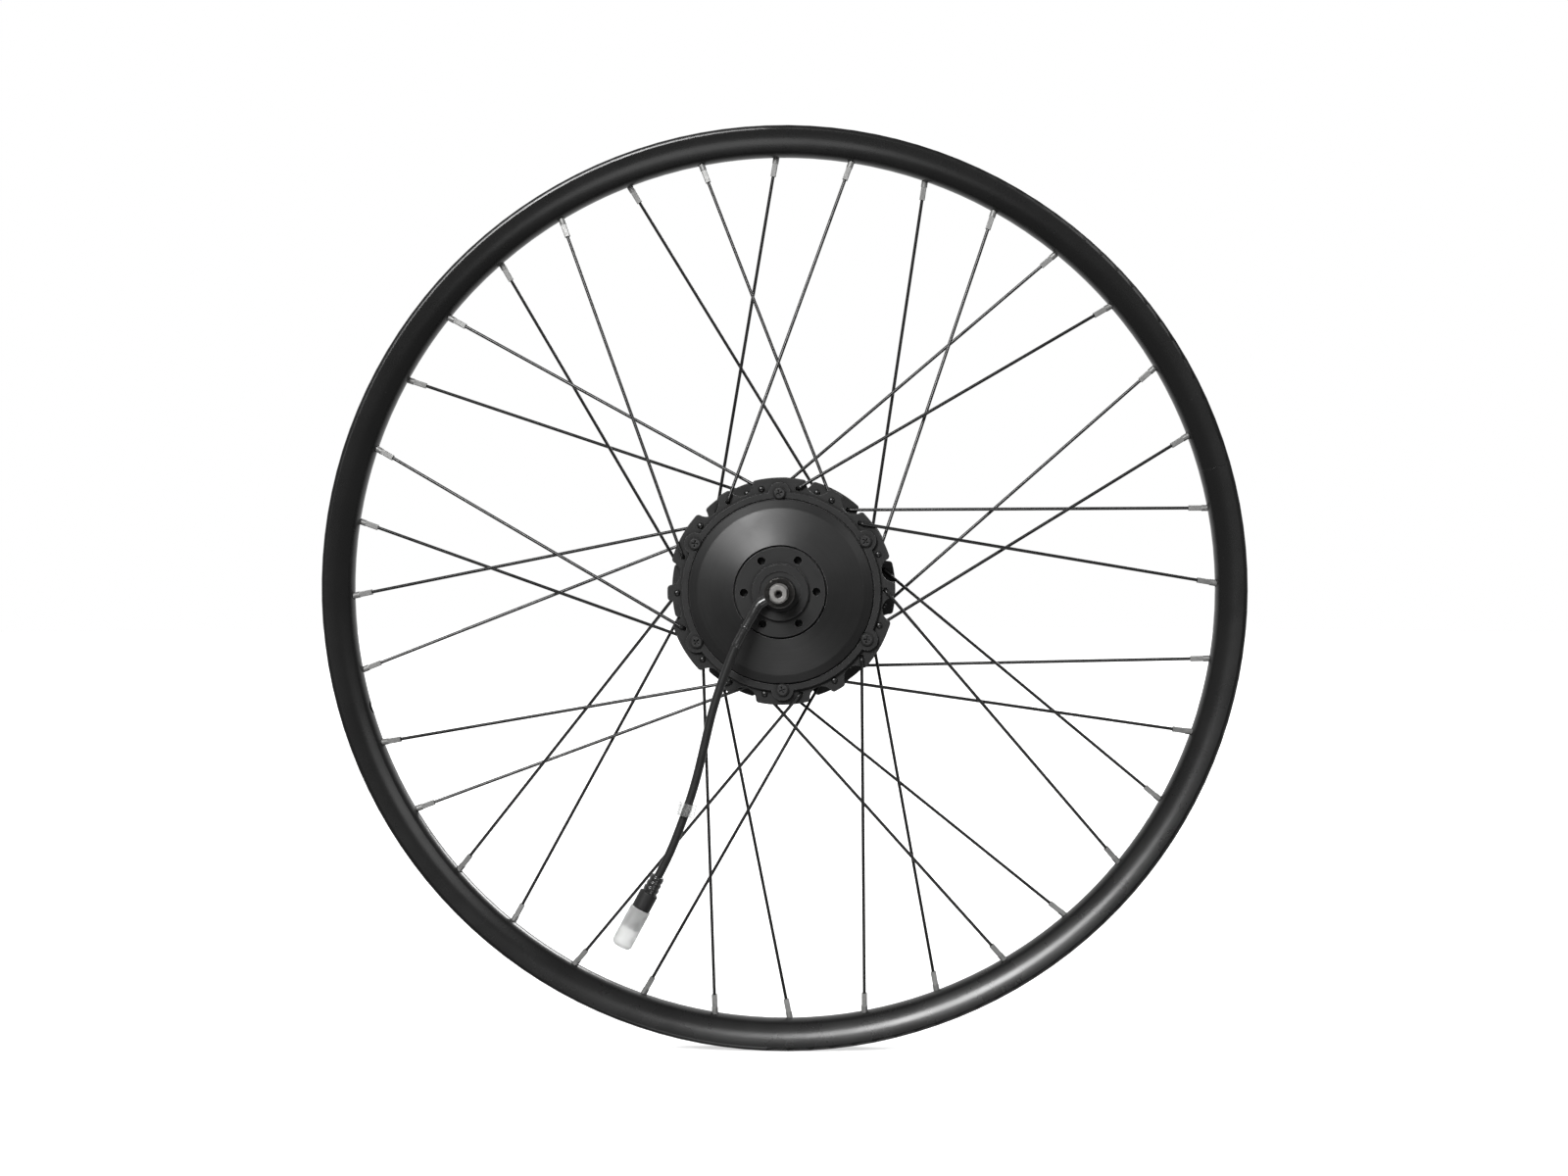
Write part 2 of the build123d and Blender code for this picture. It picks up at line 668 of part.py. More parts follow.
right_lip_seal = turned([
    (SPACER_R + 0.1, THREAD_END_Y - 0.6),
    (12.55, THREAD_END_Y - 0.6),
    (12.55, THREAD_END_Y - 3.4),
    (11.6, THREAD_END_Y - 3.4),
    (11.6, THREAD_END_Y - 1.4),
    (SPACER_R + 0.1, THREAD_END_Y - 1.2),
])
right_lip_seal.part.label = "right_lip_seal"
export_step(right_lip_seal.part, "parts/right_lip_seal.step")


# ---------------------------------------------------------------- stator, on the axle
STACK_START_Y = STATOR_Y - STACK_LENGTH / 2
STACK_END_Y = STATOR_Y + STACK_LENGTH / 2
half_pitch = math.radians(180 / SLOT_COUNT)


def slot_half_width(radius):
    """Half of a slot's width at a radius, between teeth of constant width."""
    return radius * math.tan(half_pitch) - TOOTH_WIDTH / 2 / math.cos(half_pitch)


stator_hub = ring(AXLE_R + 0.02, STATOR_BORE_R - 0.02, STACK_START_Y + 2, STACK_END_Y - 2)
stator_hub.part.label = "stator_hub"
export_step(stator_hub.part, "parts/stator_hub.step")

with BuildPart() as stator_core:
    with BuildSketch(station(STACK_END_Y)):
        Circle(STATOR_R)
        Circle(STATOR_BORE_R, mode=Mode.SUBTRACT)
        with PolarLocations(0, SLOT_COUNT, start_angle=180 / SLOT_COUNT):
            Polygon(
                (27.5, -slot_half_width(27.5)),
                (39.0, -slot_half_width(39.0)),
                (39.0, slot_half_width(39.0)),
                (27.5, slot_half_width(27.5)),
                align=None,
                mode=Mode.SUBTRACT,
            )
        with PolarLocations(40, SLOT_COUNT, start_angle=180 / SLOT_COUNT):
            Rectangle(5, 2.2, mode=Mode.SUBTRACT)
    extrude(amount=STACK_LENGTH)
stator_core.part.label = "stator_core"
export_step(stator_core.part, "parts/stator_core.step")

coil_planes = [radial_plane(29, 360 / SLOT_COUNT * k, STATOR_Y) for k in range(SLOT_COUNT)]
with BuildPart() as stator_windings:
    with BuildSketch(*coil_planes):
        RectangleRounded(STACK_LENGTH + 7, 9, 2.2)
        Rectangle(STACK_LENGTH + 0.2, TOOTH_WIDTH + 0.2, mode=Mode.SUBTRACT)
    extrude(amount=9)
stator_windings.part.label = "stator_windings"
export_step(stator_windings.part, "parts/stator_windings.step")

hall_board = ring(21, 39, STACK_START_Y - 5.6, STACK_START_Y - 4.2)
hall_board.part.label = "hall_board"
export_step(hall_board.part, "parts/hall_board.step")

lead_line = on_circle(LEAD_OFFSET, GROOVE_ANGLE)
with BuildPart() as motor_leads:
    with BuildLine():
        FilletPolyline(
            (lead_line.X, STACK_START_Y - 6, lead_line.Z),
            (lead_line.X, CABLE_Y, lead_line.Z),
            ELBOW_ROUTE[0],
            radius=2.7,
        )
    with BuildSketch(station(STACK_START_Y - 6)):
        with Locations((lead_line.X, lead_line.Z)):
            Circle(LEAD_R)
    sweep()
motor_leads.part.label = "motor_leads"
export_step(motor_leads.part, "parts/motor_leads.step")


# ---------------------------------------------------------------- rotor, round the stator
with BuildPart() as rotor_can:
    add(turned([
        (MAGNET_OUTER_R + 0.02, STACK_START_Y - 2),
        (CAN_R, STACK_START_Y - 2),
        (CAN_R, -5.5),
        (CAN_R - 1, -4.5),
        (BEARING_R, -4.5),
        (BEARING_R, ROTOR_BEARING_Y),
        (17.5, ROTOR_BEARING_Y),
        (17.5, -7.5),
        (MAGNET_OUTER_R + 0.02, -7.5),
    ]).part)
    # ventilation and rivet holes in the end plate
    with BuildSketch(station(0)):
        with PolarLocations(34, 6, start_angle=30):
            Circle(4)
    extrude(amount=9, mode=Mode.SUBTRACT)
rotor_can.part.label = "rotor_can"
export_step(rotor_can.part, "parts/rotor_can.step")

with BuildPart() as rotor_magnets:
    with BuildSketch(station(STACK_END_Y)):
        Circle(MAGNET_OUTER_R)
        Circle(MAGNET_INNER_R, mode=Mode.SUBTRACT)
        with PolarLocations(MAGNET_INNER_R + 1.6, MAGNET_COUNT):
            Rectangle(6, 1.2, mode=Mode.SUBTRACT)
    extrude(amount=STACK_LENGTH)
rotor_magnets.part.label = "rotor_magnets"
export_step(rotor_magnets.part, "parts/rotor_magnets.step")


# ---------------------------------------------------------------- gears
def involute_point(base_r, radius):
    """Radius and polar angle of the involute of a base circle, angle measured from its root."""
    r = max(radius, base_r)
    pressure = math.acos(base_r / r)
    return radius, math.tan(pressure) - pressure


def gear_outline(teeth, root_r, tip_r, thickness_change):
    """Closed outline of a spur gear about the origin, with a tooth centred on its x axis."""
    pitch_r = MODULE * teeth / 2
    base_r = pitch_r * math.cos(math.radians(PRESSURE_ANGLE))
    pitch_involute = involute_point(base_r, pitch_r)[1]
    half_tooth = math.pi / 2 / teeth + thickness_change / 2 / pitch_r
    steps = 4
    radii = [root_r + (tip_r - root_r) * i / steps for i in range(steps + 1)]
    flank = [
        (r, half_tooth + pitch_involute - angle)
        for r, angle in (involute_point(base_r, radius) for radius in radii)
    ]
    points = []
    for tooth in range(teeth):
        centre = 2 * math.pi * tooth / teeth
        rising = [(r, centre - half) for r, half in flank]
        falling = [(r, centre + half) for r, half in reversed(flank)]
        points += [(r * math.cos(a), r * math.sin(a)) for r, a in rising + falling]
    return points


def gear_face(teeth, root_r, tip_r, thickness_change, turned_by=0.0):
    """Sketch face of a gear outline, turned about its centre."""
    with BuildSketch() as face:
        with BuildLine():
            Polyline(*gear_outline(teeth, root_r, tip_r, thickness_change), close=True)
        make_face()
    return face.sketch.rotate(Axis.Z, turned_by)


SUN_PITCH_R = MODULE * SUN_TEETH / 2
PLANET_PITCH_R = MODULE * PLANET_TEETH / 2
RING_PITCH_R = MODULE * RING_TEETH / 2
ADDENDUM = 0.95 * MODULE
DEDENDUM = 1.2 * MODULE

sun_face = gear_face(SUN_TEETH, SUN_PITCH_R - DEDENDUM, SUN_PITCH_R + ADDENDUM, -BACKLASH)
with BuildPart() as sun_gear:
    with BuildSketch(station(GEAR_END_Y)):
        add(sun_face)
        Circle(AXLE_R + 0.3, mode=Mode.SUBTRACT)
    extrude(amount=GEAR_END_Y + 2.7)
    with BuildSketch(station(-2.7)):
        Circle(18)
        Circle(AXLE_R + 0.3, mode=Mode.SUBTRACT)
    extrude(amount=1.75)
sun_gear.part.label = "sun_gear"
export_step(sun_gear.part, "parts/sun_gear.step")

# inside a ring gear the spaces have the shape of a gear's teeth
ring_spaces = gear_face(
    RING_TEETH, RING_PITCH_R - ADDENDUM, RING_PITCH_R + DEDENDUM, BACKLASH, 180 / RING_TEETH
)
with BuildPart() as ring_gear:
    with BuildSketch(station(GEAR_END_Y - 0.1)):
        Circle(RING_SEAT_R - 0.03)
        add(ring_spaces, mode=Mode.SUBTRACT)
    extrude(amount=GEAR_END_Y - GEAR_START_Y - 0.6)
ring_gear.part.label = "ring_gear"
export_step(ring_gear.part, "parts/ring_gear.step")

for number, degrees in enumerate(PLANET_ANGLES, 1):
    centre = on_circle(PLANET_CIRCLE_R, degrees)
    # a tooth points at the sun's axis, where the sun has a space
    planet_face = gear_face(
        PLANET_TEETH, PLANET_PITCH_R - DEDENDUM, PLANET_PITCH_R + ADDENDUM, -BACKLASH, degrees + 180
    )
    with BuildPart() as planet_gear:
        with BuildSketch(station(GEAR_END_Y)):
            with Locations((centre.X, centre.Z)):
                add(planet_face)
                Circle(5.0, mode=Mode.SUBTRACT)
        extrude(amount=GEAR_END_Y - GEAR_START_Y)
    planet_gear.part.label = f"planet_gear_{number}"
    export_step(planet_gear.part, f"parts/planet_gear_{number}.step")

    with BuildPart() as planet_bush:
        with BuildSketch(station(GEAR_END_Y)):
            with Locations((centre.X, centre.Z)):
                Circle(4.98)
                Circle(PIN_R + 0.05, mode=Mode.SUBTRACT)
        extrude(amount=GEAR_END_Y - GEAR_START_Y)
    planet_bush.part.label = f"planet_bush_{number}"
    export_step(planet_bush.part, f"parts/planet_bush_{number}.step")


# ---------------------------------------------------------------- planet carrier and clutch
planet_centres = [on_circle(PLANET_CIRCLE_R, degrees) for degrees in PLANET_ANGLES]
with BuildPart() as planet_carrier:
    with BuildSketch(station(CARRIER_END_Y)) as carrier_plate:
        Circle(22)
        for centre in planet_centres:
            with Locations((centre.X, centre.Z)):
                Circle(8)
        with PolarLocations(PLANET_CIRCLE_R / 2, 3, start_angle=PLANET_ANGLES[0]):
            Rectangle(PLANET_CIRCLE_R, 16)
        fillet(carrier_plate.vertices(), 4)
        Circle(CARRIER_BORE_R, mode=Mode.SUBTRACT)
        for centre in planet_centres:
            with Locations((centre.X, centre.Z)):
                Circle(PIN_R + 0.02, mode=Mode.SUBTRACT)
    extrude(amount=CARRIER_END_Y - CARRIER_START_Y)
planet_carrier.part.label = "planet_carrier"
export_step(planet_carrier.part, "parts/planet_carrier.step")

with BuildPart() as planet_pins:
    with BuildSketch(station(CARRIER_END_Y)):
        with Locations(*[(centre.X, centre.Z) for centre in planet_centres]):
            Circle(PIN_R)
    extrude(amount=CARRIER_END_Y - GEAR_START_Y + 0.4)
    with BuildSketch(station(GEAR_START_Y - 0.4)):
        with Locations(*[(centre.X, centre.Z) for centre in planet_centres]):
            Circle(4.2)
    extrude(amount=0.8)
planet_pins.part.label = "planet_pins"
export_step(planet_pins.part, "parts/planet_pins.step")

clutch_race = ring(AXLE_R + 0.02, RACE_R + 0.45, CARRIER_START_Y, CARRIER_END_Y)
clutch_race.part.label = "clutch_race"
export_step(clutch_race.part, "parts/clutch_race.step")

with BuildPart() as clutch_rollers:
    with BuildSketch(station(CARRIER_END_Y - 0.2)):
        with PolarLocations(RACE_R + 0.45 + ROLLER_R + 0.03, ROLLER_COUNT):
            Circle(ROLLER_R)
    extrude(amount=CARRIER_END_Y - CARRIER_START_Y - 0.4)
clutch_rollers.part.label = "clutch_rollers"
export_step(clutch_rollers.part, "parts/clutch_rollers.step")

with BuildPart() as clutch_circlip:
    with BuildSketch(station(CARRIER_END_Y + 1.4)):
        Circle(9.6)
        Circle(AXLE_R + 0.02, mode=Mode.SUBTRACT)
        with Locations((9, 0)):
            Rectangle(6, 3, mode=Mode.SUBTRACT)
    extrude(amount=1.2)
clutch_circlip.part.label = "clutch_circlip"
export_step(clutch_circlip.part, "parts/clutch_circlip.step")


# ---------------------------------------------------------------- motor cable and its plug
def largest_radii(route):
    """One arc for each corner of a cord's route, as large as its two runs allow."""
    radii = []
    for before, corner, after in zip(route, route[1:], route[2:]):
        run_in = Vector(*corner) - Vector(*before)
        run_out = Vector(*after) - Vector(*corner)
        half_turn = math.radians(run_in.get_angle(run_out) / 2)
        radii.append(0.45 * min(run_in.length, run_out.length) / math.tan(half_turn))
    return radii


with BuildPart() as cable_elbow:
    with BuildLine():
        FilletPolyline(*ELBOW_ROUTE, radius=largest_radii(ELBOW_ROUTE)[0])
    with BuildSketch(plane_along(*ELBOW_ROUTE[:2])):
        Circle(ELBOW_R)
    sweep()
cable_elbow.part.label = "cable_elbow"
export_step(cable_elbow.part, "parts/cable_elbow.step")

boot_plane = plane_along(ELBOW_ROUTE[-1], BOOT_END)
boot_length = (Vector(*BOOT_END) - Vector(*ELBOW_ROUTE[-1])).length
with BuildPart() as cable_boot:
    with BuildSketch(boot_plane):
        Circle(BOOT_R)
    extrude(amount=boot_length)
    with BuildSketch(boot_plane.offset(boot_length - 2.2)):
        Circle(BOOT_R + 0.45)
    extrude(amount=1.6)
cable_boot.part.label = "cable_boot"
export_step(cable_boot.part, "parts/cable_boot.step")

sleeve_plane = plane_along(BOOT_END, SLEEVE_END)
sleeve_length = (Vector(*SLEEVE_END) - Vector(*BOOT_END)).length
with BuildPart() as cable_sleeve:
    with BuildSketch(sleeve_plane):
        Circle(SLEEVE_R)
    extrude(amount=sleeve_length)
cable_sleeve.part.label = "cable_sleeve"
export_step(cable_sleeve.part, "parts/cable_sleeve.step")

cable_radii = largest_radii(CABLE_ROUTE)
with BuildPart() as motor_cable:
    with BuildLine() as cable_path:
        FilletPolyline(*CABLE_ROUTE, radius=cable_radii)
    with BuildSketch(plane_along(*CABLE_ROUTE[:2])):
        Circle(CABLE_R)
    sweep()
motor_cable.part.label = "motor_cable"
export_step(motor_cable.part, "parts/motor_cable.step")
cable_length = sum(edge.length for edge in cable_path.edges())
print("cable radii", [round(radius) for radius in cable_radii])
print("cable length", round(cable_length, 1))
print("tube volume / section x length",
      round(motor_cable.part.volume / (math.pi * CABLE_R**2 * cable_length), 4))

# clear ring that hangs a little askew on the cable, where it held the cable's tie
ring_centre = plane_along(CABLE_ROUTE[4], CABLE_ROUTE[5]).offset(TIE_RING_PLACE).origin
ring_tilt = math.radians(TIE_RING_TILT)
ring_plane = Plane(origin=ring_centre, z_dir=(-math.sin(ring_tilt), 0, -math.cos(ring_tilt)))
with BuildPart() as cable_ring:
    with BuildSketch(ring_plane):
        Circle(TIE_RING_R)
        Circle(TIE_RING_R - TIE_RING_WALL, mode=Mode.SUBTRACT)
    extrude(amount=TIE_RING_LENGTH / 2, both=True)
cable_ring.part.label = "cable_ring"
export_step(cable_ring.part, "parts/cable_ring.step")

# plug: ribbed relief, shell and nose, along the cable's last run
plug_end = Vector(*CABLE_ROUTE[-1])
plug_direction = plug_end - Vector(*CABLE_ROUTE[-2])
plug_plane = Plane(origin=plug_end, x_dir=(0, 1, 0), z_dir=plug_direction)
shell_start = PLUG_RELIEF_LENGTH
nose_start = shell_start + PLUG_SHELL_LENGTH
with BuildPart() as plug_relief:
    with BuildSketch(plug_plane):
        Circle(PLUG_RELIEF_R)
    extrude(amount=shell_start)
    for rib in range(3):
        with BuildSketch(plug_plane.offset(1.2 + RIB_PITCH * rib)):
            Circle(RIB_R + RIB_GROWTH * rib)
        extrude(amount=RIB_WIDTH)
plug_relief.part.label = "plug_relief"
export_step(plug_relief.part, "parts/plug_relief.step")

with BuildPart() as plug_body:
    with BuildSketch(plug_plane.offset(shell_start)):
        Circle(PLUG_SHELL_R)
    extrude(amount=PLUG_SHELL_LENGTH)
    fillet(plug_body.edges().filter_by(GeomType.CIRCLE), 0.8)
    with BuildSketch(plug_plane.offset(nose_start - 0.5)):
        Circle(PLUG_NOSE_R)
    extrude(amount=PLUG_NOSE_LENGTH + 0.5)
    # keyed socket in the nose
    with BuildSketch(plug_plane.offset(nose_start + SOCKET_FLOOR)):
        Circle(SOCKET_R)
        with Locations((SOCKET_R, 0)):
            Rectangle(1.6, 1.8)
    extrude(amount=PLUG_NOSE_LENGTH, mode=Mode.SUBTRACT)
plug_body.part.label = "plug_body"
export_step(plug_body.part, "parts/plug_body.step")

with BuildPart() as plug_pins:
    with BuildSketch(plug_plane.offset(nose_start + SOCKET_FLOOR)):
        with PolarLocations(2.6, 6):
            Circle(PIN_R)
        with PolarLocations(1.1, 3):
            Circle(PIN_R)
    extrude(amount=PIN_LENGTH)
plug_pins.part.label = "plug_pins"
export_step(plug_pins.part, "parts/plug_pins.step")

with BuildPart() as plug_cap:
    with BuildSketch(plug_plane.offset(nose_start + CAP_GAP)):
        Circle(CAP_R)
    extrude(amount=CAP_LENGTH)
    fillet(plug_cap.edges().filter_by(GeomType.CIRCLE).sort_by(Axis.Z)[0], 3.0)
    with BuildSketch(plug_plane.offset(nose_start + CAP_GAP)):
        Circle(CAP_R - CAP_WALL)
    extrude(amount=CAP_LENGTH - CAP_END_WALL, mode=Mode.SUBTRACT)
plug_cap.part.label = "plug_cap"
export_step(plug_cap.part, "parts/plug_cap.step")
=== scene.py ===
import json
import math

import bmesh
import bpy
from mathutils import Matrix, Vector


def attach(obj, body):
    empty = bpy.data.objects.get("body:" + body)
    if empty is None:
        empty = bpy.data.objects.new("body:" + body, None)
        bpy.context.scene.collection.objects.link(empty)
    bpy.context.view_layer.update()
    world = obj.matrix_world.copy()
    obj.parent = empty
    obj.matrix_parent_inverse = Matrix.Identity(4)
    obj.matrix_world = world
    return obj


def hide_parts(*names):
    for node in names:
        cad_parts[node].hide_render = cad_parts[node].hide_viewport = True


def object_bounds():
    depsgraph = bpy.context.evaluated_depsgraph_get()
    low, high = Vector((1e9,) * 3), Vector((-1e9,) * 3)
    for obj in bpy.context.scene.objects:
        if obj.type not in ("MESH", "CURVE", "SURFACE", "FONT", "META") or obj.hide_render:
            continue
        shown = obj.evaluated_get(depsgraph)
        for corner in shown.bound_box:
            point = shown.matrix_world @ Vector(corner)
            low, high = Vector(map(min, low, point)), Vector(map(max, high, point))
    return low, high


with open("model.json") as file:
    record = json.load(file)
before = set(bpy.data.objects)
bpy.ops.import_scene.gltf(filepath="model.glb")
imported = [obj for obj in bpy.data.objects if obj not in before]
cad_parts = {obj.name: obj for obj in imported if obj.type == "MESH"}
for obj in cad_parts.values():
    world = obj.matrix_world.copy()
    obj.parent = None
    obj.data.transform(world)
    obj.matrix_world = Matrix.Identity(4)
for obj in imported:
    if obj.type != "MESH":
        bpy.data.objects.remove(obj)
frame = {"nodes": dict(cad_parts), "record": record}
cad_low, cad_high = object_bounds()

NODES = frame["nodes"]
RECORD = frame["record"]
SLOT_OF_NODE = {part["node"]: part["material_slot"] for part in RECORD["subparts"]}
BODY_OF_NODE = {
    node: body for body, members in RECORD["behaviour"]["bodies"].items() for node in members
}
MM = 0.001


# ------------------------------------------------------------------ camera
# The wheel is seen square on from its cable side, a little from the right and from above. Metres.
CAMERA_DISTANCE = 2.2
CAMERA_RIGHT = 0.079
CAMERA_UP = 0.071
FOCAL_LENGTH = 81.42         # millimetres
SENSOR_WIDTH = 36            # millimetres
AIM = Vector((0.0005, 0, 0.0009))


def add_camera():
    """The camera, at the photograph's viewing angle."""
    lens = bpy.data.cameras.new("camera")
    lens.lens = FOCAL_LENGTH
    lens.sensor_width = SENSOR_WIDTH
    camera = bpy.data.objects.new("camera", lens)
    bpy.context.scene.collection.objects.link(camera)
    back = math.sqrt(CAMERA_DISTANCE**2 - CAMERA_RIGHT**2 - CAMERA_UP**2)
    camera.location = Vector((CAMERA_RIGHT, -back, CAMERA_UP)) + AIM
    camera.rotation_euler = (AIM - camera.location).to_track_quat("-Z", "Y").to_euler()
    bpy.context.scene.camera = camera


add_camera()


# ------------------------------------------------------------------ mesh helpers
JOINED_SHARP_ANGLE = 40      # degrees between faces, above which a drawn piece has a hard edge
CARVED_SHARP_ANGLE = 28      # the same for a carved piece


def in_metres(points):
    return [Vector(point) * MM for point in points]


def profile_in_metres(profile):
    return [(distance * MM, radius * MM) for distance, radius in profile]


def add_mesh(name, vertices, faces):
    """A new mesh object in the model's frame, with smooth faces."""
    mesh = bpy.data.meshes.new(name)
    mesh.from_pydata([tuple(vertex) for vertex in vertices], [], faces)
    mesh.validate()
    for polygon in mesh.polygons:
        polygon.use_smooth = True
    piece = bpy.data.objects.new(name, mesh)
    bpy.context.scene.collection.objects.link(piece)
    return piece


def rounded_path(points, radius, steps=8):
    """The points of a bent line, with each inner corner rounded to radius."""
    path = [Vector(points[0])]
    for before, corner, after in zip(points, points[1:], points[2:]):
        corner = Vector(corner)
        back = (Vector(before) - corner).normalized()
        onward = (Vector(after) - corner).normalized()
        half = back.angle(onward) / 2
        centre = corner + (back + onward).normalized() * (radius / math.sin(half))
        start = corner + back * (radius / math.tan(half)) - centre
        end = corner + onward * (radius / math.tan(half)) - centre
        turn = start.angle(end)
        for step in range(steps + 1):
            done = turn * step / steps
            path.append(centre + (start * math.sin(turn - done) + end * math.sin(done)) / math.sin(turn))
    return path + [Vector(points[-1])]


def bar(path, radii, steps=24):
    """Vertices and faces of a round bar along a path, with flat ends and a radius at each point."""
    vertices = []
    headings = [(after - before).normalized() for before, after in zip(path, path[1:])]
    across = headings[0].orthogonal().normalized()
    for index, (place, radius) in enumerate(zip(path, radii)):
        heading = headings[max(index - 1, 0)] + headings[min(index, len(headings) - 1)]
        heading.normalize()
        across = (across - heading * across.dot(heading)).normalized()
        aside = heading.cross(across)
        for step in range(steps):
            angle = 2 * math.pi * step / steps
            outward = across * math.cos(angle) + aside * math.sin(angle)
            vertices.append(place + outward * radius)
    faces = [tuple(reversed(range(steps))), tuple(range(len(vertices) - steps, len(vertices)))]
    for low in range(0, len(vertices) - steps, steps):
        for step in range(steps):
            after = (step + 1) % steps
            faces.append((low + step, low + after, low + steps + after, low + steps + step))
    return vertices, faces


def turned_bar(start, direction, profile, steps=48):
    """Vertices and faces of a straight bar from start, with a (distance, radius) profile."""
    heading = Vector(direction).normalized()
    path = [Vector(start) + heading * distance for distance, _ in profile]
    return bar(path, [radius for _, radius in profile], steps)


def joined(name, parts):
    """One object from several (vertices, faces), smooth but for its hard edges."""
    vertices = []
    faces = []
    for part_vertices, part_faces in parts:
        start = len(vertices)
        vertices += part_vertices
        faces += [tuple(start + index for index in face) for face in part_faces]
    piece = add_mesh(name, vertices, faces)
    piece.data.set_sharp_from_angle(angle=math.radians(JOINED_SHARP_ANGLE))
    return piece


# ------------------------------------------------------------------ material helpers
# Lengths in the finishes are in metres, and colours are linear.
SHADER_RAYS = 4              # rays that a bevel or a shadow in a slot is worked out from


def grey(level):
    return (level, level, level)


def toned(colour, factor):
    """A colour made darker or paler."""
    return tuple(min(1.0, channel * factor) for channel in colour)


class Finish:
    """A material being made: its shader, and short ways to wire nodes to it."""

    def __init__(self, name, **constants):
        self.material = bpy.data.materials.new(name)
        self.material.use_nodes = True
        self.tree = self.material.node_tree
        self.shader = self.tree.nodes["Principled BSDF"]
        for socket, value in constants.items():
            self.shader.inputs[socket.replace("_", " ")].default_value = value
        self.place = self.node("ShaderNodeTexCoord").outputs["Object"]
        self.surface = None

    def node(self, kind, inputs=None, **settings):
        """A node with its settings made, and its inputs set or linked."""
        made = self.tree.nodes.new(kind)
        for setting, value in settings.items():
            setattr(made, setting, value)
        for socket, value in (inputs or {}).items():
            self.give(made.inputs[socket], value)
        return made

    def give(self, socket, value):
        """Links a socket to another, or sets it to a number or a colour."""
        if isinstance(value, bpy.types.NodeSocket):
            self.tree.links.new(value, socket)
        else:
            socket.default_value = value

    def math(self, operation, first, second=0.0, third=0.0):
        inputs = {0: first, 1: second, 2: third}
        return self.node("ShaderNodeMath", inputs, operation=operation).outputs[0]

    def axes(self):
        """x, y and z of the place that is coloured."""
        return self.node("ShaderNodeSeparateXYZ", {0: self.place}).outputs

    def length(self, first, second):
        """Length of the diagonal whose sides are first and second."""
        squares = [self.math("MULTIPLY", side, side) for side in (first, second)]
        return self.math("SQRT", self.math("ADD", *squares))

    def axle_polar(self):
        """Angle about the axle in radians, and radius."""
        x, _, z = self.axes()
        return self.math("ARCTAN2", z, x), self.length(x, z)

    def noise(self, size, detail=3.0, roughness=0.5, place=None):
        """Cloudy values about 0.5, with features of this size."""
        inputs = {
            "Vector": place or self.place,
            "Scale": 1 / size,
            "Detail": detail,
            "Roughness": roughness,
        }
        return self.node("ShaderNodeTexNoise", inputs).outputs[0]

    def lathe_marks(self, pitch, drift):
        """Fine rings about the axle, pitch apart, that wander by drift in a radian."""
        angle, radius = self.axle_polar()
        _, along, _ = self.axes()
        inputs = {0: radius, 1: along, 2: self.math("MULTIPLY", angle, drift)}
        rings = self.node("ShaderNodeCombineXYZ", inputs).outputs[0]
        return self.noise(pitch, 2.0, 0.6, place=rings)

    def specks(self, size, amount):
        """1 on sparse tiny spots, size apart, else 0."""
        cells = self.node("ShaderNodeTexVoronoi", {"Vector": self.place, "Scale": 1 / size})
        return self.spread(cells.outputs["Distance"], 1.0, 0.0, amount * 0.6, amount)

    def spread(self, value, low, high, start=0.3, end=0.7, smooth=False):
        """value taken from start..end to low..high."""
        inputs = {0: value, 1: start, 2: end, 3: low, 4: high}
        kind = "SMOOTHSTEP" if smooth else "LINEAR"
        return self.node("ShaderNodeMapRange", inputs, interpolation_type=kind).outputs[0]

    def mix(self, factor, low, high):
        """Colour between low and high."""
        made = self.node("ShaderNodeMix", {0: factor}, data_type="RGBA")
        for socket, colour in ((made.inputs[6], low), (made.inputs[7], high)):
            self.give(socket, (*colour, 1) if isinstance(colour, tuple) else colour)
        return made.outputs[2]

    def edges(self, radius):
        """1 on outside edges, 0 on flat stretches."""
        bevel = self.node("ShaderNodeBevel", {"Radius": radius}, samples=SHADER_RAYS).outputs[0]
        normal = self.node("ShaderNodeNewGeometry").outputs["Normal"]
        align = self.node("ShaderNodeVectorMath", {0: bevel, 1: normal}, operation="DOT_PRODUCT")
        return self.spread(align.outputs["Value"], 1.0, 0.0, 0.75, 0.99)

    def openness(self, reach, shut, clear):
        """From shut in recesses and slots to clear on open faces, by what is within reach."""
        shade = self.node("ShaderNodeAmbientOcclusion", {"Distance": reach}, samples=SHADER_RAYS)
        return self.spread(shade.outputs["AO"], shut, clear, 0.35, 0.85)

    def painted_recess_shade(self, reach, level):
        """Painted shade: recesses and slots get a lower specular level than open faces, whose specular
        level this is.
        """
        self.give(self.shader.inputs["Specular IOR Level"], self.openness(reach, 0.04, level))

    def rounded(self, radius):
        """Edges catch the light as if they had this radius."""
        self.surface = self.node("ShaderNodeBevel", {"Radius": radius}, samples=SHADER_RAYS).outputs[0]

    def bump(self, height, distance):
        """Raises the surface by height times distance."""
        inputs = {"Height": height, "Distance": distance}
        if self.surface:
            inputs["Normal"] = self.surface
        self.surface = self.node("ShaderNodeBump", inputs).outputs[0]

    def done(self, colour, roughness):
        """Wires up colour and roughness, and gives the finished material."""
        self.give(self.shader.inputs["Base Color"], colour)
        self.give(self.shader.inputs["Roughness"], roughness)
        if self.surface:
            self.give(self.shader.inputs["Normal"], self.surface)
        return self.material


# ------------------------------------------------------------------ finishes
RIM_SEAM = math.radians(15.9)       # where the hoop's ends meet, from +X towards +Z
RIM_SEAM_HALF = (0.00035, 0.0008)   # radians to its sharp and to its soft edge
WIRE_DIAMETER = 0.0007


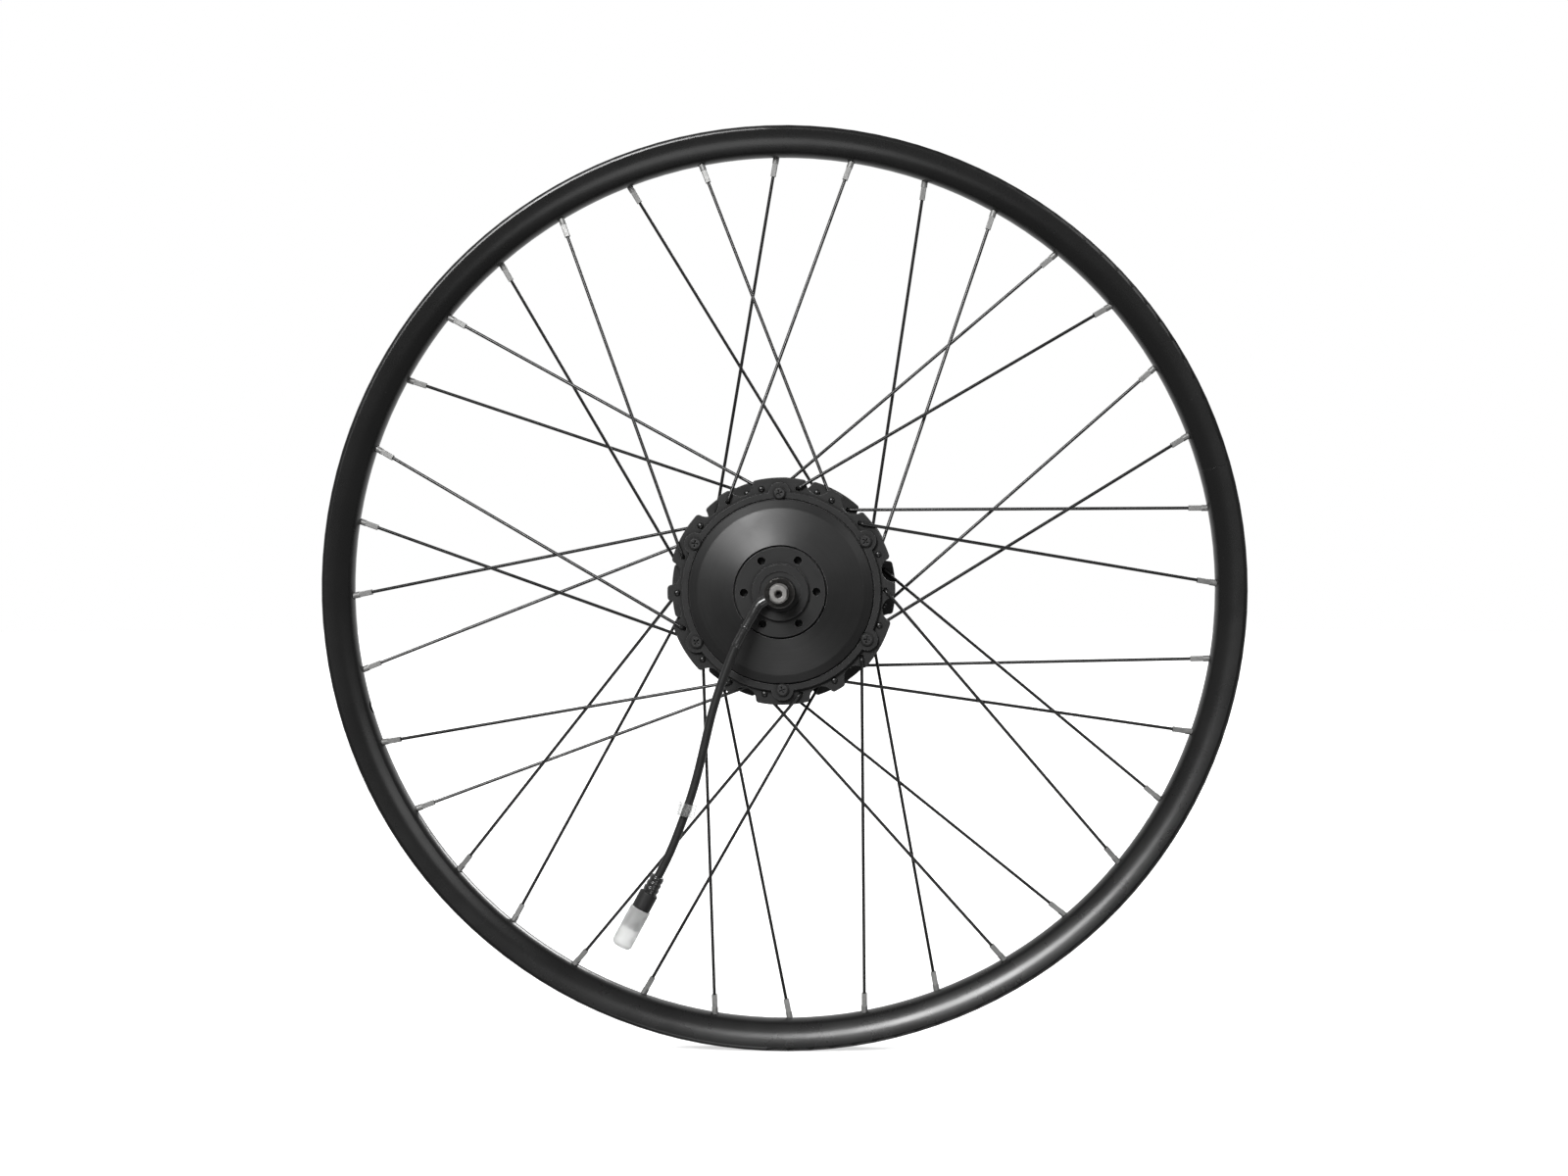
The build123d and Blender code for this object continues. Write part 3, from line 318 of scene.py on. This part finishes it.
def rim_finish():
    """Satin black paint on the extruded rim, with a welded seam and a little dust."""
    finish = Finish("rim_black", Specular_IOR_Level=0.5, Coat_Weight=0.12, Coat_Roughness=0.28)
    paint = finish.mix(finish.noise(0.05, 4.0), grey(0.0085), grey(0.0135))
    paint = finish.mix(finish.math("MULTIPLY", finish.specks(0.011, 0.03), 0.12), paint, grey(0.30))
    edge_wear_and_highlight = finish.math("MULTIPLY", finish.edges(0.0006), finish.spread(finish.noise(0.02), 0.0, 0.30))
    paint = finish.mix(edge_wear_and_highlight, paint, grey(0.14))
    angle, _ = finish.axle_polar()
    off_seam = finish.math("ABSOLUTE", finish.math("SUBTRACT", angle, RIM_SEAM))
    seam = finish.spread(off_seam, 1.0, 0.0, *RIM_SEAM_HALF)
    paint = finish.mix(finish.math("MULTIPLY", seam, 0.75), paint, grey(0.003))
    finish.rounded(0.0003)
    finish.bump(finish.noise(0.0016, 3.0), 0.000006)
    finish.bump(finish.lathe_marks(0.0011, 0.004), 0.000003)
    finish.bump(seam, -0.00010)
    return finish.done(paint, finish.spread(finish.noise(0.03, 5.0, 0.6), 0.25, 0.31))


def hub_finish():
    """Black anodised hub metal, turned and finely blasted."""
    finish = Finish("hub_black")
    # painted shade: less specular in the hub's recesses and slots
    finish.painted_recess_shade(0.0022, 0.44)
    marks = finish.lathe_marks(0.00055, 0.000275)
    paint = finish.mix(finish.noise(0.018, 4.0, 0.6), grey(0.011), grey(0.019))
    paint = finish.mix(finish.spread(marks, 0.0, 0.35), paint, grey(0.026))
    paint = finish.mix(finish.math("MULTIPLY", finish.specks(0.006, 0.03), 0.2), paint, grey(0.30))
    # worn edges made bright enough to also stand in for highlights along the chamfered edges: partly
    # painted highlight
    edge_wear_and_highlight = finish.math("MULTIPLY", finish.edges(0.00022),
                       finish.spread(finish.noise(0.006, 4.0, 0.65), 0.35, 1.0))
    paint = finish.mix(edge_wear_and_highlight, paint, grey(0.40))
    finish.rounded(0.00016)
    finish.bump(marks, 0.000005)
    finish.bump(finish.noise(0.0007, 2.0), 0.000005)
    return finish.done(paint, finish.spread(finish.noise(0.012, 5.0, 0.65), 0.37, 0.43))


def metal_finish(name, colour, roughness, tarnish=0.25, edge=0.0004, grain=0.000012, metallic=1.0):
    """Bare or plated metal: cloudy tarnish, fine tool marks, and a painted highlight that makes its edges
    brighter.
    """
    finish = Finish(name, Metallic=metallic, Specular_IOR_Level=0.5)
    tarnished = finish.spread(finish.noise(0.004, 5.0, 0.65), 0.0, 1.0)
    paint = finish.mix(tarnished, colour, toned(colour, (1 - tarnish) * 0.8))
    # painted highlight: every edge a little brighter than the metal
    paint = finish.mix(finish.edges(edge), paint, toned(colour, 1.15))
    finish.rounded(edge * 0.8)
    finish.bump(finish.noise(0.00045, 3.0, 0.6), grain)
    return finish.done(paint, finish.spread(finish.noise(0.002, 4.0, 0.7), *roughness))


def turned_finish(name, colour, roughness, pitch=0.0003):
    """Turned steel: tool rings about the axle, dull patches, a painted highlight on its edges and painted
    shade in its recesses.
    """
    finish = Finish(name, Metallic=1.0, Specular_IOR_Level=0.5)
    marks = finish.lathe_marks(pitch, pitch * 0.5)
    dull = toned(colour, 0.525)
    paint = finish.mix(finish.spread(finish.noise(0.003, 5.0, 0.65), 0.0, 1.0), colour, dull)
    paint = finish.mix(finish.spread(marks, 0.0, 0.4), paint, dull)
    # painted highlight: every edge brighter than the steel
    paint = finish.mix(finish.edges(0.0003), paint, toned(colour, 1.2))
    # painted shade: recesses and slots nearly black
    paint = finish.mix(finish.openness(0.003, 1.0, 0.0), paint, toned(colour, 0.06))
    finish.rounded(0.00025)
    finish.bump(marks, 0.000015)
    return finish.done(paint, finish.spread(finish.noise(0.0015, 4.0, 0.7), *roughness))


def coated_finish(name, level, roughness, edge_level, nick_level=0.3):
    """Thin black coating on steel, worn a little at its edges."""
    finish = Finish(name)
    # painted shade: less specular in recesses and slots
    finish.painted_recess_shade(0.0012, 0.6)
    paint = finish.mix(finish.noise(0.006, 4.0), grey(level * 0.7), grey(level * 1.35))
    edge_wear_and_highlight = finish.math("MULTIPLY", finish.edges(0.0003),
                       finish.spread(finish.noise(0.003, 4.0, 0.65), 0.1, 0.9))
    paint = finish.mix(edge_wear_and_highlight, paint, grey(edge_level))
    nicks = finish.math("MULTIPLY", finish.specks(0.0042, 0.03), 0.5)
    paint = finish.mix(nicks, paint, grey(nick_level))
    finish.rounded(0.0002)
    finish.bump(finish.noise(0.0005, 3.0), 0.000004)
    return finish.done(paint, finish.spread(finish.noise(0.003, 4.0, 0.6), *roughness))


def polymer_finish(name, colour, roughness, grain=0.0006, depth=0.00002, gloss=0.4):
    """Moulded plastic or rubber: fine grain, soft mottling and scuffed edges."""
    finish = Finish(name, Specular_IOR_Level=gloss)
    paint = finish.mix(finish.noise(0.007, 4.0, 0.6), toned(colour, 0.75), toned(colour, 1.3))
    scuffs = finish.math("MULTIPLY", finish.edges(0.0004),
                         finish.spread(finish.noise(0.002, 4.0, 0.7), 0.0, 0.8))
    paint = finish.mix(scuffs, paint, toned(colour, 2.2))
    finish.rounded(0.0003)
    finish.bump(finish.noise(grain, 3.0, 0.6), depth)
    return finish.done(paint, finish.spread(finish.noise(0.004, 5.0, 0.65), *roughness))


def clear_finish(name, clarity, roughness):
    """Milky see-through plastic, with faint moulding haze."""
    finish = Finish(name, Transmission_Weight=clarity, IOR=1.42, Specular_IOR_Level=0.35)
    haze = finish.noise(0.004, 4.0, 0.6)
    paint = finish.mix(haze, (0.90, 0.905, 0.90), (0.97, 0.975, 0.97))
    finish.rounded(0.0003)
    finish.bump(finish.noise(0.0012, 3.0), 0.000015)
    return finish.done(paint, finish.spread(haze, *roughness))


def winding_finish():
    """Enamelled copper wire, laid turn on turn, its crests painted light and the grooves between turns
    painted dark as shade.
    """
    finish = Finish("copper", Metallic=1.0, Coat_Weight=0.5, Coat_Roughness=0.15)
    _, radius = finish.axle_polar()
    _, along, _ = finish.axes()
    waves = [
        finish.math("SINE", finish.math("MULTIPLY", way, 2 * math.pi / WIRE_DIAMETER))
        for way in (radius, along)
    ]
    strands = finish.math("MULTIPLY_ADD", waves[0], 0.25, finish.math("MULTIPLY", waves[1], 0.25))
    lit_wire_crests = finish.spread(strands, 0.0, 1.0, -0.5, 0.5)
    # painted highlight and shade: bright copper on each turn's crest, dark copper in the grooves between
    # turns
    paint = finish.mix(lit_wire_crests, (0.30, 0.09, 0.03), (0.80, 0.36, 0.16))
    finish.bump(strands, 0.00012)
    return finish.done(paint, finish.spread(finish.noise(0.003), 0.22, 0.38))


# a finish for each of the record's material slots
FINISHES = {
    "rim_black": rim_finish(),
    "hub_black": hub_finish(),
    "spoke_black": coated_finish("spoke_black", 0.008, (0.24, 0.34), 0.03, nick_level=0.03),
    "nipple_silver": metal_finish("nipple_silver", (0.31, 0.31, 0.305), (0.42, 0.52), tarnish=0.12,
                                  edge=0.0002, grain=0.0000008, metallic=0.4),
    "screw_black": coated_finish("screw_black", 0.016, (0.34, 0.48), 0.20),
    "axle_steel": turned_finish("axle_steel", (0.50, 0.49, 0.475), (0.34, 0.48)),
    "spacer_steel": turned_finish("spacer_steel", (0.16, 0.155, 0.15), (0.16, 0.30), 0.0009),
    "bearing_steel": turned_finish("bearing_steel", (0.52, 0.52, 0.51), (0.12, 0.26)),
    "seal_rubber": polymer_finish("seal_rubber", grey(0.014), (0.45, 0.62)),
    "core_steel": turned_finish("core_steel", (0.33, 0.32, 0.31), (0.35, 0.5), 0.0005),
    "copper": winding_finish(),
    "board_green": polymer_finish("board_green", (0.02, 0.16, 0.06), (0.28, 0.42), 0.0012),
    "magnet": metal_finish("magnet", (0.60, 0.60, 0.59), (0.18, 0.32)),
    "can_steel": turned_finish("can_steel", (0.42, 0.41, 0.40), (0.3, 0.45)),
    "gear_steel": metal_finish("gear_steel", (0.45, 0.44, 0.43), (0.22, 0.38)),
    "gear_nylon": polymer_finish("gear_nylon", (0.62, 0.60, 0.52), (0.35, 0.5), 0.0008),
    "bush_bronze": metal_finish("bush_bronze", (0.62, 0.40, 0.18), (0.3, 0.45)),
    "carrier_alloy": turned_finish("carrier_alloy", (0.66, 0.66, 0.67), (0.3, 0.42)),
    "cable_black": polymer_finish("cable_black", grey(0.020), (0.34, 0.44), 0.0009, 0.000010),
    "boot_black": polymer_finish("boot_black", grey(0.020), (0.20, 0.30), 0.0012, 0.00001, gloss=0.9),
    "plug_black": polymer_finish("plug_black", grey(0.018), (0.42, 0.56), 0.0005, 0.00003),
    "clear_plastic": clear_finish("clear_plastic", 0.75, (0.40, 0.55)),
    "contact_brass": metal_finish("contact_brass", (0.86, 0.64, 0.28), (0.15, 0.3), edge=0.0002),
}


def coat(piece, slot):
    """Gives every material slot of an object its finish."""
    materials = piece.data.materials
    if not materials:
        materials.append(FINISHES[slot])
    for index in range(len(materials)):
        materials[index] = FINISHES[slot]


def stand_for(piece, node):
    """piece takes the place of a CAD node, with its body and its finish."""
    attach(piece, BODY_OF_NODE[node])
    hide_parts(node)
    coat(piece, SLOT_OF_NODE[node])
    return piece


for cad_node, cad_piece in NODES.items():
    coat(cad_piece, SLOT_OF_NODE[cad_node])

# the ring on the cable is thinner and clearer than the plug's cap
NODES["cable_ring"].data.materials[0] = clear_finish("clear_ring", 0.93, (0.10, 0.20))


# ------------------------------------------------------------------ motor cable
# Millimetres, but for the cable's own diameter and length, which are in metres.
CABLE_Y = -61.5
SLEEVE_END = (-26.7, CABLE_Y, -32.7)
CABLE_ROUTE = [
    SLEEVE_END,
    (-32.0, CABLE_Y, -45.6),
    (-40.3, CABLE_Y, -69.8),
    (-46.0, CABLE_Y, -95.0),
    (-51.6, CABLE_Y, -118.0),
    (-60.2, CABLE_Y, -142.5),
    (-67.8, CABLE_Y, -161.2),
    (-73.4, CABLE_Y, -171.6),
]
CABLE_DIAMETER = 5.3 * MM

# the elbow, boot and sleeve lead the cable out of the axle
ELBOW_ROUTE = [(-6.9, CABLE_Y, -3.7), (-12.5, CABLE_Y, -6.9), (-14.9, CABLE_Y, -11.1)]
BOOT_START = ELBOW_ROUTE[-1]
BOOT_END = (-21.2, CABLE_Y, -22.2)
ELBOW_R = 3.35
ELBOW_BEND_R = 7.5
BOOT_R = 3.2
COLLAR_R = 3.65
COLLAR_START = 10.8          # along the boot
COLLAR_END = 11.6
SLEEVE_R = 2.95

# the relief leads the cable into the plug
RELIEF_LENGTH = 11.5
RELIEF_END_R = 4.5
RELIEF_MOUTH = [(0, 3.3), (0.3, 3.9), (1.0, 4.05)]
RIB_COUNT = 3
RIB_START = 1.2
RIB_PITCH = 3.3
RIB_WIDTH = 2.4
RIB_R = 4.3
RIB_GROWTH = 0.25            # each rib is this much larger than the one before


def add_motor_cable():
    """The cable's jacket, on one open spline along the route."""
    curve = bpy.data.curves.new("motor_cable_jacket", "CURVE")
    curve.dimensions = "3D"
    spline = curve.splines.new("NURBS")
    spline.points.add(len(CABLE_ROUTE) - 1)
    for point, place in zip(spline.points, CABLE_ROUTE):
        point.co = (place[0] * MM, place[1] * MM, place[2] * MM, 1)
        point.radius = CABLE_DIAMETER / 2
    spline.order_u = 3
    spline.use_endpoint_u = True
    spline.resolution_u = 24
    curve.bevel_depth = 1.0       # times each point's radius
    curve.bevel_resolution = 8
    curve.use_fill_caps = True
    jacket = bpy.data.objects.new("motor_cable_jacket", curve)
    bpy.context.scene.collection.objects.link(jacket)
    return stand_for(jacket, "motor_cable")


def add_elbow():
    """Bent sleeve where the cable comes out of the axle."""
    path = rounded_path(in_metres(ELBOW_ROUTE), ELBOW_BEND_R * MM, 14)
    radii = [ELBOW_R * MM] * len(path)
    radii[0] = (ELBOW_R - 0.15) * MM
    return stand_for(joined("elbow_sleeve", [bar(path, radii, 40)]), "cable_elbow")


def add_boot():
    """Moulded boot, waisted a little, with a collar towards its lower end."""
    run = Vector(BOOT_END) - Vector(BOOT_START)
    profile = [
        (0, BOOT_R - 0.25),
        (0.25, BOOT_R),
        (4.0, BOOT_R - 0.05),
        (7.4, BOOT_R - 0.15),
        (COLLAR_START - 0.5, BOOT_R - 0.1),
        (COLLAR_START - 0.2, COLLAR_R - 0.15),
        (COLLAR_START, COLLAR_R),
        (COLLAR_END, COLLAR_R),
        (COLLAR_END + 0.25, COLLAR_R - 0.15),
        (COLLAR_END + 0.4, BOOT_R - 0.2),
        (run.length - 0.15, BOOT_R - 0.2),
        (run.length, BOOT_R - 0.35),
    ]
    moulded = turned_bar(Vector(BOOT_START) * MM, run, profile_in_metres(profile))
    return stand_for(joined("cable_boot_moulded", [moulded]), "cable_boot")


def add_sleeve():
    """Shrunk sleeve from the boot onto the free cable, drawn in unevenly."""
    run = Vector(SLEEVE_END) - Vector(BOOT_END)
    profile = [
        (0, SLEEVE_R - 0.2),
        (0.2, SLEEVE_R),
        (3.2, SLEEVE_R - 0.12),
        (7.0, SLEEVE_R - 0.02),
        (9.0, SLEEVE_R - 0.1),
        (run.length - 0.4, SLEEVE_R - 0.03),
        (run.length, SLEEVE_R - 0.2),
    ]
    shrunk = turned_bar(Vector(BOOT_END) * MM, run, profile_in_metres(profile))
    return stand_for(joined("cable_sleeve_shrunk", [shrunk]), "cable_sleeve")


def add_relief():
    """Ribbed strain relief at the plug, its ribs growing towards it."""
    start = Vector(CABLE_ROUTE[-1])
    profile = list(RELIEF_MOUTH)
    for rib in range(RIB_COUNT):
        rib_start = RIB_START + RIB_PITCH * rib
        rib_r = RIB_R + RIB_GROWTH * rib
        profile += [
            (rib_start, rib_r - 0.3),
            (rib_start + 0.3, rib_r - 0.05),
            (rib_start + 0.6, rib_r),
            (rib_start + RIB_WIDTH - 0.6, rib_r),
            (rib_start + RIB_WIDTH - 0.3, rib_r - 0.05),
            (rib_start + RIB_WIDTH, rib_r - 0.3),
            (rib_start + RIB_WIDTH + 0.5, rib_r - 0.3),
        ]
    profile[-1] = (RELIEF_LENGTH, RELIEF_END_R)
    ribbed = turned_bar(start * MM, start - Vector(CABLE_ROUTE[-2]), profile_in_metres(profile), 64)
    return stand_for(joined("plug_relief_ribbed", [ribbed]), "plug_relief")


motor_cable = add_motor_cable()
add_elbow()
boot = add_boot()
sleeve = add_sleeve()
relief = add_relief()


# ------------------------------------------------------------------ cut threads
# Metres.
AXLE_END = cad_high[1]
AXLE_CREST_R = 6.0 * MM
AXLE_THREAD_DEPTH = 0.68 * MM
AXLE_PITCH = 1.25 * MM
AXLE_THREAD_START = 67.9 * MM     # just outside the dropouts
FREEWHEEL_CREST_R = 17.46 * MM
FREEWHEEL_THREAD_DEPTH = 0.55 * MM
FREEWHEEL_PITCH = 25.4 / 24 * MM
FREEWHEEL_THREAD_START = 28.9 * MM
FREEWHEEL_END = 38.5 * MM
FACES_ALONG_AXLE = 0.999          # a face whose normal is this close to the axle's line is flat


def cad_copy(node, name):
    """A new welded mesh with a CAD node's exact shape, without the normals stored for it."""
    mesh = NODES[node].data.copy()
    mesh.name = name
    stored_normals = mesh.attributes.get("custom_normal")
    if stored_normals:
        mesh.attributes.remove(stored_normals)
    edit = bmesh.new()
    edit.from_mesh(mesh)
    bmesh.ops.remove_doubles(edit, verts=edit.verts, dist=1e-7)
    edit.to_mesh(mesh)
    edit.free()
    piece = bpy.data.objects.new(name, mesh)
    bpy.context.scene.collection.objects.link(piece)
    return piece


def thread_cutter(name, crest_r, depth, pitch, y_start, y_end, steps=64):
    """Closed V-shaped helix about the axle, whose point lies depth under the crest radius."""
    mouth_r = crest_r + 0.3 * depth
    half_mouth = 0.598 * pitch
    half_root = 0.06 * pitch
    section = [(mouth_r, -half_mouth), (mouth_r, half_mouth),
               (crest_r - depth, half_root), (crest_r - depth, -half_root)]
    corners = len(section)
    count = int((y_end - y_start) / pitch * steps)
    vertices = []
    for step in range(count + 1):
        angle = 2 * math.pi * step / steps
        for radius, offset in section:
            y = y_start + pitch * step / steps + offset
            vertices.append((radius * math.cos(angle), y, radius * math.sin(angle)))
    faces = [tuple(reversed(range(corners))), tuple(corners * count + k for k in range(corners))]
    for low in range(0, corners * count, corners):
        for k in range(corners):
            after = (k + 1) % corners
            faces.append((low + k, low + after, low + corners + after, low + corners + k))
    cutter = add_mesh(name, vertices, faces)
    edit = bmesh.new()
    edit.from_mesh(cutter.data)
    bmesh.ops.recalc_face_normals(edit, faces=edit.faces)
    edit.to_mesh(cutter.data)
    edit.free()
    return cutter


def carve(piece, cutters):
    """Cuts the cutters out of a piece for good, and shades it smooth between its hard edges."""
    for cutter in cutters:
        cut = piece.modifiers.new("cut", "BOOLEAN")
        cut.operation = "DIFFERENCE"
        cut.solver = "EXACT"
        cut.object = cutter
    graph = bpy.context.evaluated_depsgraph_get()
    carved = bpy.data.meshes.new_from_object(piece.evaluated_get(graph))
    piece.modifiers.clear()
    piece.data = carved
    for cutter in cutters:
        bpy.data.objects.remove(cutter)
    for polygon in carved.polygons:
        polygon.use_smooth = abs(polygon.normal.y) < FACES_ALONG_AXLE
    carved.set_sharp_from_angle(angle=math.radians(CARVED_SHARP_ANGLE))


def add_threaded_axle():
    """The axle, with a thread on each end outside its dropouts."""
    axle = cad_copy("axle", "axle_threaded")
    carve(axle, [
        thread_cutter("cut_left", AXLE_CREST_R, AXLE_THREAD_DEPTH, AXLE_PITCH,
                      -AXLE_END - AXLE_PITCH, -AXLE_THREAD_START),
        thread_cutter("cut_right", AXLE_CREST_R, AXLE_THREAD_DEPTH, AXLE_PITCH,
                      AXLE_THREAD_START, AXLE_END + AXLE_PITCH),
    ])
    stand_for(axle, "axle")


def add_threaded_shell():
    """The hub shell, with the freewheel's thread on its boss."""
    shell = cad_copy("hub_shell", "hub_shell_threaded")
    carve(shell, [
        thread_cutter("cut_freewheel", FREEWHEEL_CREST_R, FREEWHEEL_THREAD_DEPTH, FREEWHEEL_PITCH,
                      FREEWHEEL_THREAD_START, FREEWHEEL_END + FREEWHEEL_PITCH, 96),
    ])
    stand_for(shell, "hub_shell")


add_threaded_axle()
add_threaded_shell()


# ------------------------------------------------------------------ spokes
# Millimetres.
WHEEL_PHASE = 0.9            # degrees that the whole lacing is turned by
SPOKES_PER_GROUP = 9
SPOKE_CIRCLE_R = 63.5        # the holes in the flanges
SPOKE_R = 1.0
SPOKE_HEAD_R = 1.9
SPOKE_HEAD_EDGE = 0.3
SPOKE_HEAD_DOME = 1.05
SPOKE_BEND_R = 2.2
CROSSING_ANGLE = 40.0        # degrees about the axle, from a spoke's flange hole to its rim hole
RIM_HOLE_R = 267.8
RIM_HOLE_STAGGER = 2.0
TIP_GAP = 3                  # from a spoke's tip, inside its nipple, to the rim hole
FLANGE_HALF = 1.8
LEFT_FLANGE_Y = -34.2
RIGHT_FLANGE_Y = 8.5
INNER_REACH = 3.0            # from the flange's middle to the line of a spoke beside it
OUTER_REACH = 4.4
# first flange hole in degrees, which way the spoke leans, its flange, the side that it leaves on
SPOKE_GROUPS = {
    "spokes_left_outer": (0, -1, LEFT_FLANGE_Y, -1, OUTER_REACH),
    "spokes_left_inner": (20, 1, LEFT_FLANGE_Y, 1, INNER_REACH),
    "spokes_right_inner": (10, -1, RIGHT_FLANGE_Y, -1, INNER_REACH),
    "spokes_right_outer": (30, 1, RIGHT_FLANGE_Y, 1, OUTER_REACH),
}


def on_circle(radius, degrees, y):
    angle = math.radians(degrees)
    return Vector((radius * math.cos(angle), y, radius * math.sin(angle)))


def spoke(hub_angle, lean, flange_y, side, reach):
    """One drawn spoke: its wire, and its pressed head as a low dome."""
    hub_degrees = hub_angle + WHEEL_PHASE
    stagger = math.copysign(RIM_HOLE_STAGGER, flange_y)
    head = on_circle(SPOKE_CIRCLE_R, hub_degrees, flange_y - side * FLANGE_HALF)
    bend = on_circle(SPOKE_CIRCLE_R, hub_degrees, flange_y + side * reach)
    rim_hole = on_circle(RIM_HOLE_R, hub_degrees + lean * CROSSING_ANGLE, stagger)
    tip = rim_hole - (rim_hole - bend).normalized() * TIP_GAP
    path = rounded_path(in_metres([head, bend, tip]), SPOKE_BEND_R * MM)
    wire = bar(path, [SPOKE_R * MM] * len(path))
    profile = [(0, SPOKE_HEAD_R)]
    for degrees in range(0, 85, 12):
        turn = math.radians(degrees)
        profile.append((SPOKE_HEAD_EDGE + SPOKE_HEAD_DOME * math.sin(turn), SPOKE_HEAD_R * math.cos(turn)))
    return wire, turned_bar(head * MM, (0, -side, 0), profile_in_metres(profile), 32)


def add_spokes(node, first_angle, *lacing):
    """A group of spokes, evenly round the flange."""
    parts = []
    for number in range(SPOKES_PER_GROUP):
        parts += spoke(first_angle + 360 / SPOKES_PER_GROUP * number, *lacing)
    stand_for(joined(node + "_drawn", parts), node)


for spoke_node, group in SPOKE_GROUPS.items():
    add_spokes(spoke_node, *group)


# ------------------------------------------------------------------ floor and light
# Metres.
FLOOR_Z = cad_low[2]
FLOOR_R = 6.0                # past every view
FLOOR_THICKNESS = 0.004
FLOOR_SIDES = 128
WHITE = (1, 1, 1, 1)
ROOM_FRONT = 0.10            # how bright the room is in reflections, towards the camera
ROOM_BACK = 0.85             # and behind the wheel
ROOM_FADE = (-0.35, 0.55)    # where along the axle's line it goes from one to the other
# direction, distance and size in metres, and power in watts, of each light
LIGHTS = {
    "key": ((-0.272, -0.839, 0.471), 4.0, 1.6, 150),
    "right": ((0.66, -0.62, 0.42), 2.6, 1.0, 6),
    "low": ((0.05, -0.80, -0.60), 2.6, 1.4, 9),
    "back": ((0.45, 0.72, 0.53), 4.0, 1.6, 70),
}


def floor_disc():
    """Vertices and faces of a wide thin disc, whose top is at the floor's height."""
    top, bottom = 0, FLOOR_SIDES + 1
    vertices = []
    faces = []
    for z in (FLOOR_Z, FLOOR_Z - FLOOR_THICKNESS):
        vertices.append((0, 0, z))
        for step in range(FLOOR_SIDES):
            angle = 2 * math.pi * step / FLOOR_SIDES
            vertices.append((FLOOR_R * math.cos(angle), FLOOR_R * math.sin(angle), z))
    for step in range(1, FLOOR_SIDES + 1):
        after = step % FLOOR_SIDES + 1
        faces.append((top, after, step))
        faces.append((step, after, bottom + after, bottom + step))
        faces.append((bottom + step, bottom + after, bottom))
    return vertices, faces


def add_floor():
    """Pale floor that glows as painted light, dimmer under the wheel and white further out, and that casts
    no light on the wheel.
    """
    floor = add_mesh("floor", *floor_disc())
    floor.visible_diffuse = False
    floor.visible_glossy = False
    finish = Finish("floor_white", Specular_IOR_Level=0.0, Emission_Color=WHITE)
    x, y, _ = finish.axes()
    # painted light: the floor glows, from 0.62 under the wheel to 1.0 further out
    glow = finish.spread(finish.length(x, y), 0.62, 1.0, 0.1, 0.6, True)
    finish.give(finish.shader.inputs["Emission Strength"], glow)
    paper = finish.mix(finish.noise(0.3, 3.0), grey(0.80), grey(0.84))
    finish.bump(finish.noise(0.004, 3.0), 0.0001)
    floor.data.materials.append(finish.done(paper, finish.spread(finish.noise(0.05), 0.85, 0.95)))


def add_light(name, direction, distance, size, power):
    """Round soft light that looks at the axle from direction."""
    light = bpy.data.lights.new(name, "AREA")
    light.shape = "DISK"
    light.size = size
    light.energy = power
    lamp = bpy.data.objects.new(name, light)
    bpy.context.scene.collection.objects.link(lamp)
    lamp.location = Vector(direction).normalized() * distance
    lamp.rotation_euler = (-Vector(direction)).to_track_quat("-Z", "Y").to_euler()


def set_world():
    """White behind the wheel, and a room that is dim in front of it in reflections."""
    world = bpy.data.worlds.new("studio")
    bpy.context.scene.world = world
    world.use_nodes = True
    tree = world.node_tree
    tree.nodes.clear()
    output = tree.nodes.new("ShaderNodeOutputWorld")
    seen = tree.nodes.new("ShaderNodeBackground")
    room = tree.nodes.new("ShaderNodeBackground")
    choose = tree.nodes.new("ShaderNodeMixShader")
    rays = tree.nodes.new("ShaderNodeLightPath")
    heading = tree.nodes.new("ShaderNodeTexCoord")
    split = tree.nodes.new("ShaderNodeSeparateXYZ")
    depth = tree.nodes.new("ShaderNodeMapRange")
    depth.interpolation_type = "SMOOTHSTEP"
    for socket, value in zip(depth.inputs[1:5], (*ROOM_FADE, ROOM_FRONT, ROOM_BACK)):
        socket.default_value = value
    tree.links.new(heading.outputs["Generated"], split.inputs[0])
    tree.links.new(split.outputs["Y"], depth.inputs[0])
    tree.links.new(depth.outputs[0], room.inputs["Strength"])
    tree.links.new(rays.outputs["Is Camera Ray"], choose.inputs[0])
    tree.links.new(room.outputs[0], choose.inputs[1])
    tree.links.new(seen.outputs[0], choose.inputs[2])
    tree.links.new(choose.outputs[0], output.inputs["Surface"])
    for background in (seen, room):
        background.inputs["Color"].default_value = WHITE


add_floor()
set_world()
for light_name, light_values in LIGHTS.items():
    add_light(light_name, *light_values)
bpy.context.scene.view_settings.view_transform = "Standard"
bpy.context.scene.view_settings.look = "None"


# ------------------------------------------------------------------ what the cord is
CORD_PIECES = [boot, sleeve, relief]
CORD_PIECES += [NODES[node] for node in ("cable_ring", "plug_body", "plug_pins", "plug_cap")]
